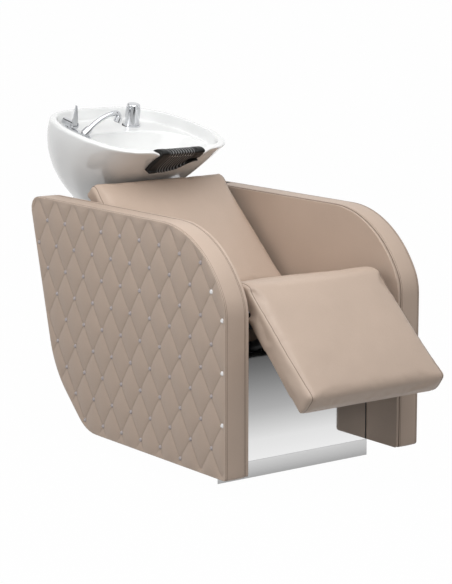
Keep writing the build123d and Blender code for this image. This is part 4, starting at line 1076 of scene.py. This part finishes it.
def cushion(name, node, board, body, support, added=None):
    """A stuffed cushion wrapped round its board, with a sewn seam near each flank."""
    c = sizes("cushion")
    low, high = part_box(node)
    seams = [low.x + c.seam_inset, high.x - c.seam_inset]
    mesh = cushion_form(node, board, support, seams, added)
    threads = bmesh.new()
    for x in seams:
        add_tube(threads, seam_loop(mesh, x), c.thread)
    made = piece(name, mesh, body, "upholstery_leather", (node, board))
    mesh.materials.append(finish("dust_cloth"))
    for face in mesh.polygons:
        face.material_index = int(face.normal.dot(support) > 0.8)
    softened(made)
    piece(name + "_seams", threads, body, "seam_thread")


# Points of the egg shape's left half: shares of its half width, and of its length from the widest line.
LOOP_SHARES = ((0.39, -0.977), (0.724, -0.86), (0.956, -0.4225), (1, 0), (0.956, 0.438), (0.824, 0.724),
               (0.552, 0.936))


def basin_frame():
    """The basin's own frame as a matrix: x across, s back along the rim, w up from it."""
    b = sizes("basin")
    return Matrix.Translation((0.0, b.origin_y, b.origin_z)) @ Matrix.Rotation(b.tilt, 4, "X")


def basin_point(x, s, w):
    """Place of a point of the basin's frame, with the front of the rim dipped for the neck rest."""
    b = sizes("basin")
    near = smooth_step((b.notch_half + b.notch_blend / 2 - abs(x)) / b.notch_blend)
    front = smooth_step((b.notch_start - s) / b.notch_run)
    w -= b.notch_depth * near * front * smooth_step((w + b.notch_fade) / b.notch_fade)
    cos, sin = math.cos(b.tilt), math.sin(b.tilt)
    return Vector((x, b.origin_y + s * cos - w * sin, b.origin_z + s * sin + w * cos))


def egg_ring(bm, w, half, front, rear):
    """Egg-shaped ring of edges at one level of the basin; sizes in millimetres."""
    b = sizes("basin")
    widest = front + b.widest * (rear - front)
    shares = [(0, -1), *LOOP_SHARES, (0, 1), *[(-x, y) for x, y in LOOP_SHARES[::-1]]]
    curve, knots = new_curve("BEZIER", len(shares))
    curve.resolution_u = 6
    for knot, (x, y) in zip(knots, shares):
        knot.co = (x * half, widest + y * (rear - widest if y > 0 else widest - front), 0.0)
        knot.handle_left_type = knot.handle_right_type = "AUTO"
    mesh = from_curve(curve)
    points = [basin_point(v.co.x / 1000, v.co.y / 1000, w / 1000) for v in mesh.vertices]
    bpy.data.meshes.remove(mesh)
    return ring_edges(bm, points)


def round_ring(bm, w, radius):
    """Circular ring of edges about the drain, radius and level in millimetres."""
    b = sizes("basin")
    made = bmesh.ops.create_circle(bm, segments=96, radius=radius / 1000, cap_ends=False)["verts"]
    for vert in made:
        vert.co = basin_point(vert.co.x, b.drain_s + vert.co.y, w / 1000)
    return edges_of(made)


# Rings of the shell from the drain over the rim to the skirt and back underneath, in millimetres:
# w, half width, front and rear.
BASIN_LEVELS = (
    (-171.5, 42, 43, 127), (-169, 62, 27, 134), (-165, 83, 10, 140), (-150, 117, -20, 139.5),
    (-130, 146, -51, 138), (-105, 168, -79, 141), (-80, 186, -106, 145), (-58, 197, -129, 148),
    (-42, 204, -147, 149.6), (-38.6, 206, -150, 151), (-38, 208, -151, 154),
    (-38, 215, -152, 230), (-38, 222, -153, 303), (-36.5, 224.6, -154.3, 307), (-30, 226, -160, 308.8),
    (-15, 227.7, -174, 310.6), (-3, 228.7, -185, 311.8), (-0.8, 229.8, -187, 313), (0, 232, -189.5, 315),
    (0, 237, -195, 320), (-0.3, 242.5, -200.5, 325.5), (-2.3, 247.2, -205.4, 330.3),
    (-6, 249.6, -207.6, 332.8), (-10, 250, -205.5, 333.8), (-30, 249, -180, 337), (-50, 246, -159, 339),
    (-70, 241, -138, 340), (-90, 235, -117, 340), (-110, 228, -96, 339), (-130, 219, -75, 337),
    (-150, 209, -54, 333), (-170, 198, -35, 329), (-190, 185, -18, 322), (-210, 172, -2, 312),
    (-230, 157, 12, 300), (-250, 140, 25, 282), (-270, 122, 37, 260), (-274, 118.5, 40, 256),
    (-275, 115, 43, 252), (-275, 109, 49, 246), (-272, 107, 51, 244), (-250, 127, 38, 269),
    (-230, 144, 25, 287), (-210, 158, 12, 298), (-195, 166, 6, 303), (-190, 162, 8, 300),
    (-188, 110, 15, 220), (-187, 53, 32, 138),
)


def basin():
    """Ceramic shell: drain, bowl, deck, wall, rolled rim, skirt and the open underside."""
    b = sizes("basin")
    drain = b.drain_radius * 1000
    bm = bmesh.new()
    rings = [round_ring(bm, -186, drain), round_ring(bm, -174, drain), round_ring(bm, -172, drain + 2)]
    rings += [egg_ring(bm, *level) for level in BASIN_LEVELS]
    rings.append(round_ring(bm, -187, drain + 2))
    skin(bm, rings, True)
    return closed_shape(bm)


def neck_rest():
    """Moulded rubber neck rest: a rounded lobe, upright ribs and a plain wing that tapers upwards."""
    b = sizes("basin")
    mesh = modified(node_copy("neck_rest"), "REMESH", mode="VOXEL", voxel_size=b.neck_voxel)
    eased(mesh, 3)
    frame_in, frame_out = basin_frame().inverted(), basin_frame()
    for vert in mesh.vertices:
        x, s, w = frame_in @ vert.co
        lower = max(0.0, w + 0.012) * b.lowered
        taper = b.taper * smooth_step(x / 0.080) * max(0.0, -0.030 - w)
        sag = b.sag * smooth_step((0.020 - x) / 0.060) * max(0.0, -0.020 - w)
        x *= b.narrow if x > 0 else 1.0
        vert.co = frame_out @ Vector((x, s + 0.95 * sag - 0.8 * taper, w + taper - lower - sag))
    eased(mesh, 3)
    mesh.update()

    def mould(place, normal):
        face = smooth_step(0.5 - normal.y) * (0.4 + 0.6 * smooth_step(normal.z + 0.5))
        ribs = smooth_step((place.x - b.rib_low) / 0.006) * smooth_step((b.rib_high - place.x) / 0.006)
        rib = b.rib * math.cos(2 * math.pi * (place.x - b.rib_crest) / b.rib_pitch) * ribs
        lobe = b.lobe * smooth_step((-0.054 - place.x) / 0.014)
        wing = b.wing * smooth_step((place.x - 0.040) / 0.008)
        return (rib + lobe + wing) * face
    pushed(mesh, mould)
    return mesh


def gasket(bm, x, s, radius):
    """Dark rubber ring under a fitting's flange on the deck."""
    b = sizes("basin")
    upright = Matrix.Translation((radius, 0, 0)) @ Matrix.Rotation(math.pi / 2, 4, "X")
    start = bmesh.ops.create_circle(bm, segments=8, radius=b.gasket, cap_ends=False, matrix=upright)
    edges = edges_of(start["verts"])
    known = len(bm.verts) - 8
    bmesh.ops.spin(bm, geom=edges + start["verts"], cent=(0, 0, 0), axis=(0, 0, 1), angle=2 * math.pi,
                   steps=48, use_merge=True)
    matrix = basin_frame() @ Matrix.Translation((x, s, b.deck + b.gasket_lift))
    bmesh.ops.transform(bm, matrix=matrix, verts=list(bm.verts)[known:])


# Lamps as name, place, target, size and the Stage group's key of their power; cards as name, place, size.
LAMPS = (
    ("overhead", (-0.5, -0.7, 2.3), (0.0, 0.20, 0.4), 1.8, "key"),
    ("front_box", (-1.1, -3.0, 2.5), (0.0, 0.0, 0.5), 1.2, "front"),
    ("side_box", (-3.4, 0.8, 2.4), (0.0, 0.2, 0.5), 2.0, "side"),
)
CARDS = (
    ("flag_left", (-2.6, 1.6, 1.6), (0.5, 2.4)), ("flag_right", (2.2, -2.4, 1.9), (0.6, 2.4)),
    ("flag_top", (-0.9, 2.6, 2.6), (2.4, 0.5)),
)


class BACKWASH_OT_stage(bpy.types.Operator):
    """Camera of the photograph, soft lamps, white surround and pale floor"""

    bl_idname = "backwash.stage"
    bl_label = "Stage"

    def execute(self, context):
        scene, s = context.scene, sizes("stage")
        scene.view_settings.view_transform = "Standard"
        data = bpy.data.cameras.new("photo_view")
        data.sensor_fit = "VERTICAL"
        data.sensor_height = 36.0
        data.lens = s.lens
        data.clip_end = 200.0
        camera = placed("photo_view", data)
        camera.location = s.camera
        camera.rotation_euler = (math.pi / 2 - s.pitch, 0.0, -s.yaw)
        scene.camera = camera
        for name, place, target, size, power in LAMPS:
            self.lamp(name, place, target, size, getattr(s, power))
        self.surround(s.ambient)
        self.floor()
        for name, place, size in CARDS:
            self.flag(name, place, size)
        return {"FINISHED"}

    def lamp(self, name, place, target, size, power):
        data = bpy.data.lights.new(name, "AREA")
        data.shape = "SQUARE"
        data.size = size
        data.energy = power
        lamp = placed(name, data)
        lamp.location = place
        aim = Vector(target) - Vector(place)
        lamp.rotation_euler = aim.to_track_quat("-Z", "Y").to_euler()

    def seen(self, shade):
        """1 for rays from the camera, a mirror or glass."""
        rays = [shade.node("LightPath", output=name)
                for name in ("Is Camera Ray", "Is Glossy Ray", "Is Transmission Ray")]
        return (rays[0] + rays[1] + rays[2]).clamp()

    def surround(self, ambient):
        world = bpy.data.worlds.new("white_surround")
        bpy.context.scene.world = world
        shade = Shade(world, "OutputWorld")
        strength = ambient + (1.0 - ambient) * self.seen(shade)
        shade.finish(shade.node("Background", {}, {"Color": (1.0, 1.0, 1.0, 1.0), "Strength": strength}))

    def floor(self):
        bm = bmesh.new()
        bmesh.ops.create_grid(bm, x_segments=8, y_segments=8, size=50.0)
        mesh = mesh_from("studio_floor", bm)
        floor = placed("studio_floor", mesh)
        shade = new_shade("floor_white")
        grain = shade.noise(shade.place(), 40.0, 4.0)
        body = shade.mix(grain, (0.40, 0.40, 0.40), (0.42, 0.42, 0.42))
        matt = shade.node("BsdfDiffuse", {}, {"Color": body})
        glow = shade.node("Emission", {}, {"Color": (1.0, 1.0, 1.0, 1.0), "Strength": 1.0})
        seen = self.seen(shade) * sizes("stage").floor_seen
        mesh.materials.append(shade.finish(shade.node("MixShader", {}, (seen, matt, glow))))

    def flag(self, name, place, size):
        """A dark card that only polished surfaces see, as a photographer sets beside chrome."""
        bm = bmesh.new()
        bmesh.ops.create_grid(bm, x_segments=2, y_segments=2, size=0.5)
        aim = (Vector((0.0, 0.6, 0.9)) - Vector(place)).to_track_quat("Z", "Y").to_matrix().to_4x4()
        shape = Matrix.Translation(place) @ aim @ Matrix.Diagonal((*size, 1.0, 1.0))
        bmesh.ops.transform(bm, matrix=shape, verts=bm.verts)
        mesh = mesh_from(name, bm)
        mesh.materials.append(finish("black_coat"))
        card = placed(name, mesh)
        card.visible_camera = card.visible_diffuse = card.visible_shadow = False


class BACKWASH_OT_carried(bpy.types.Operator):
    """Materials of the solids that keep their own shape"""

    bl_idname = "backwash.carried"
    bl_label = "Frame and fittings"

    def execute(self, context):
        for name, group in CARRIED.items():
            for node in group:
                holder = nodes[node]
                if not holder.material_slots:
                    holder.data.materials.append(finish(name))
                for kept in holder.material_slots:
                    kept.material = finish(name)
        return {"FINISHED"}


class BACKWASH_OT_panels(bpy.types.Operator):
    """Leather of both side panels: quilted outer pads, edge bands, inner pads and seams"""

    bl_idname = "backwash.panels"
    bl_label = "Side panels"

    def execute(self, context):
        for side, word in ((-1, "right"), (1, "left")):
            band = edge_band(side)
            if side > 0:
                low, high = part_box("switch_frame")
                edge = Vector((0.0006, 0.0006, 0.0))
                band = pocketed(band, low - edge, high + edge + Vector((0, 0, 0.01)))
            shapes = {"quilted_pad_": ("side_outer_pad_", quilted_pad(side)),
                      "inner_pad_": ("side_inner_pad_", inner_pad(side)),
                      "edge_band_": ("side_edge_band_", band)}
            for name, (solid, shape) in shapes.items():
                piece(name + word, shape, "root", "upholstery_leather", (solid + word,))
            piece("panel_seams_" + word, panel_seams(side), "root", "seam_thread")
        # Painted shadow: dark cords in the gaps beside the mirror panel.
        piece("mirror_trims", mirror_trims(), "root", "black_rubber")
        return {"FINISHED"}


class BACKWASH_OT_crystals(bpy.types.Operator):
    """Crystal buttons on the quilting"""

    bl_idname = "backwash.crystals"
    bl_label = "Crystals"

    def execute(self, context):
        for side, word in ((-1, "right"), (1, "left")):
            piece("crystal_buttons_" + word, crystal_buttons(side, False), "root", "smoked_crystal",
                  ("side_crystals_" + word,), smooth=False)
            piece("edge_crystals_" + word, crystal_buttons(side, True), "root", "cut_crystal",
                  smooth=False)
        return {"FINISHED"}


class BACKWASH_OT_cushions(bpy.types.Operator):
    """Stuffed seat, backrest and leg rest"""

    bl_idname = "backwash.cushions"
    bl_label = "Cushions"

    def execute(self, context):
        cushion("seat_pad", "seat_cushion", "seat_board", "root", Vector((0, -0.1, -1)).normalized())
        cushion("backrest_pad", "backrest_cushion", "backrest_board", "root",
                Vector((0, 0.7, -0.7)).normalized())
        cushion("leg_pad", "legrest_cushion", "legrest_board", "legrest", Vector((0, 0.687, -0.7266)),
                leg_skirt)
        return {"FINISHED"}


class BACKWASH_OT_basin(bpy.types.Operator):
    """Glazed basin, its neck rest and the gaskets under its fittings"""

    bl_idname = "backwash.basin"
    bl_label = "Basin"

    def execute(self, context):
        shell = piece("glazed_basin", basin(), "basin", "white_glaze", ("basin_shell",))
        softened(shell)
        piece("rubber_neck_rest", neck_rest(), "basin", "ribbed_rubber", ("neck_rest",))
        rings = bmesh.new()
        b = sizes("basin")
        for node, radius in (("breaker_body", 0.0288), ("handset_socket", 0.0205)):
            low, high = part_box(node)
            middle = (low + high) / 2
            gasket(rings, middle.x, (middle.y - b.origin_y) / math.cos(b.tilt), radius)
        piece("fitting_gaskets", closed_shape(rings), "basin", "black_rubber")
        return {"FINISHED"}


class BACKWASH_PT_pieces(bpy.types.Panel):
    """Lists the steps that dress the backwash unit"""

    bl_idname = "BACKWASH_PT_pieces"
    bl_label = "Backwash unit"
    bl_space_type = "VIEW_3D"
    bl_region_type = "UI"
    bl_category = "Backwash"

    def draw(self, context):
        for step in STEPS:
            self.layout.operator(step.bl_idname)
        for name in GROUPS:
            group = sizes(name)
            box = self.layout.box()
            box.label(text=name.title())
            for key in group.bl_rna.properties.keys():
                if key not in {"rna_type", "name"}:
                    box.prop(group, key)


STEPS = (BACKWASH_OT_stage, BACKWASH_OT_carried, BACKWASH_OT_panels, BACKWASH_OT_crystals,
         BACKWASH_OT_cushions, BACKWASH_OT_basin)
GROUPS = {"panel": PanelSizes, "quilt": QuiltSizes, "cushion": CushionSizes, "basin": BasinSizes,
          "finishes": Finishes, "stage": StageSizes}


def register():
    for kind in (*GROUPS.values(), *STEPS, BACKWASH_PT_pieces):
        bpy.utils.register_class(kind)
    for name, kind in GROUPS.items():
        setattr(bpy.types.Scene, "backwash_" + name, PointerProperty(type=kind))


def unregister():
    for name in GROUPS:
        delattr(bpy.types.Scene, "backwash_" + name)
    for kind in (BACKWASH_PT_pieces, *STEPS[::-1], *list(GROUPS.values())[::-1]):
        bpy.utils.unregister_class(kind)


def main():
    """Dress the whole unit."""
    register()
    bpy.ops.backwash.stage()
    bpy.ops.backwash.carried()
    bpy.ops.backwash.panels()
    bpy.ops.backwash.crystals()
    bpy.ops.backwash.cushions()
    bpy.ops.backwash.basin()


if __name__ == "__main__":
    main()
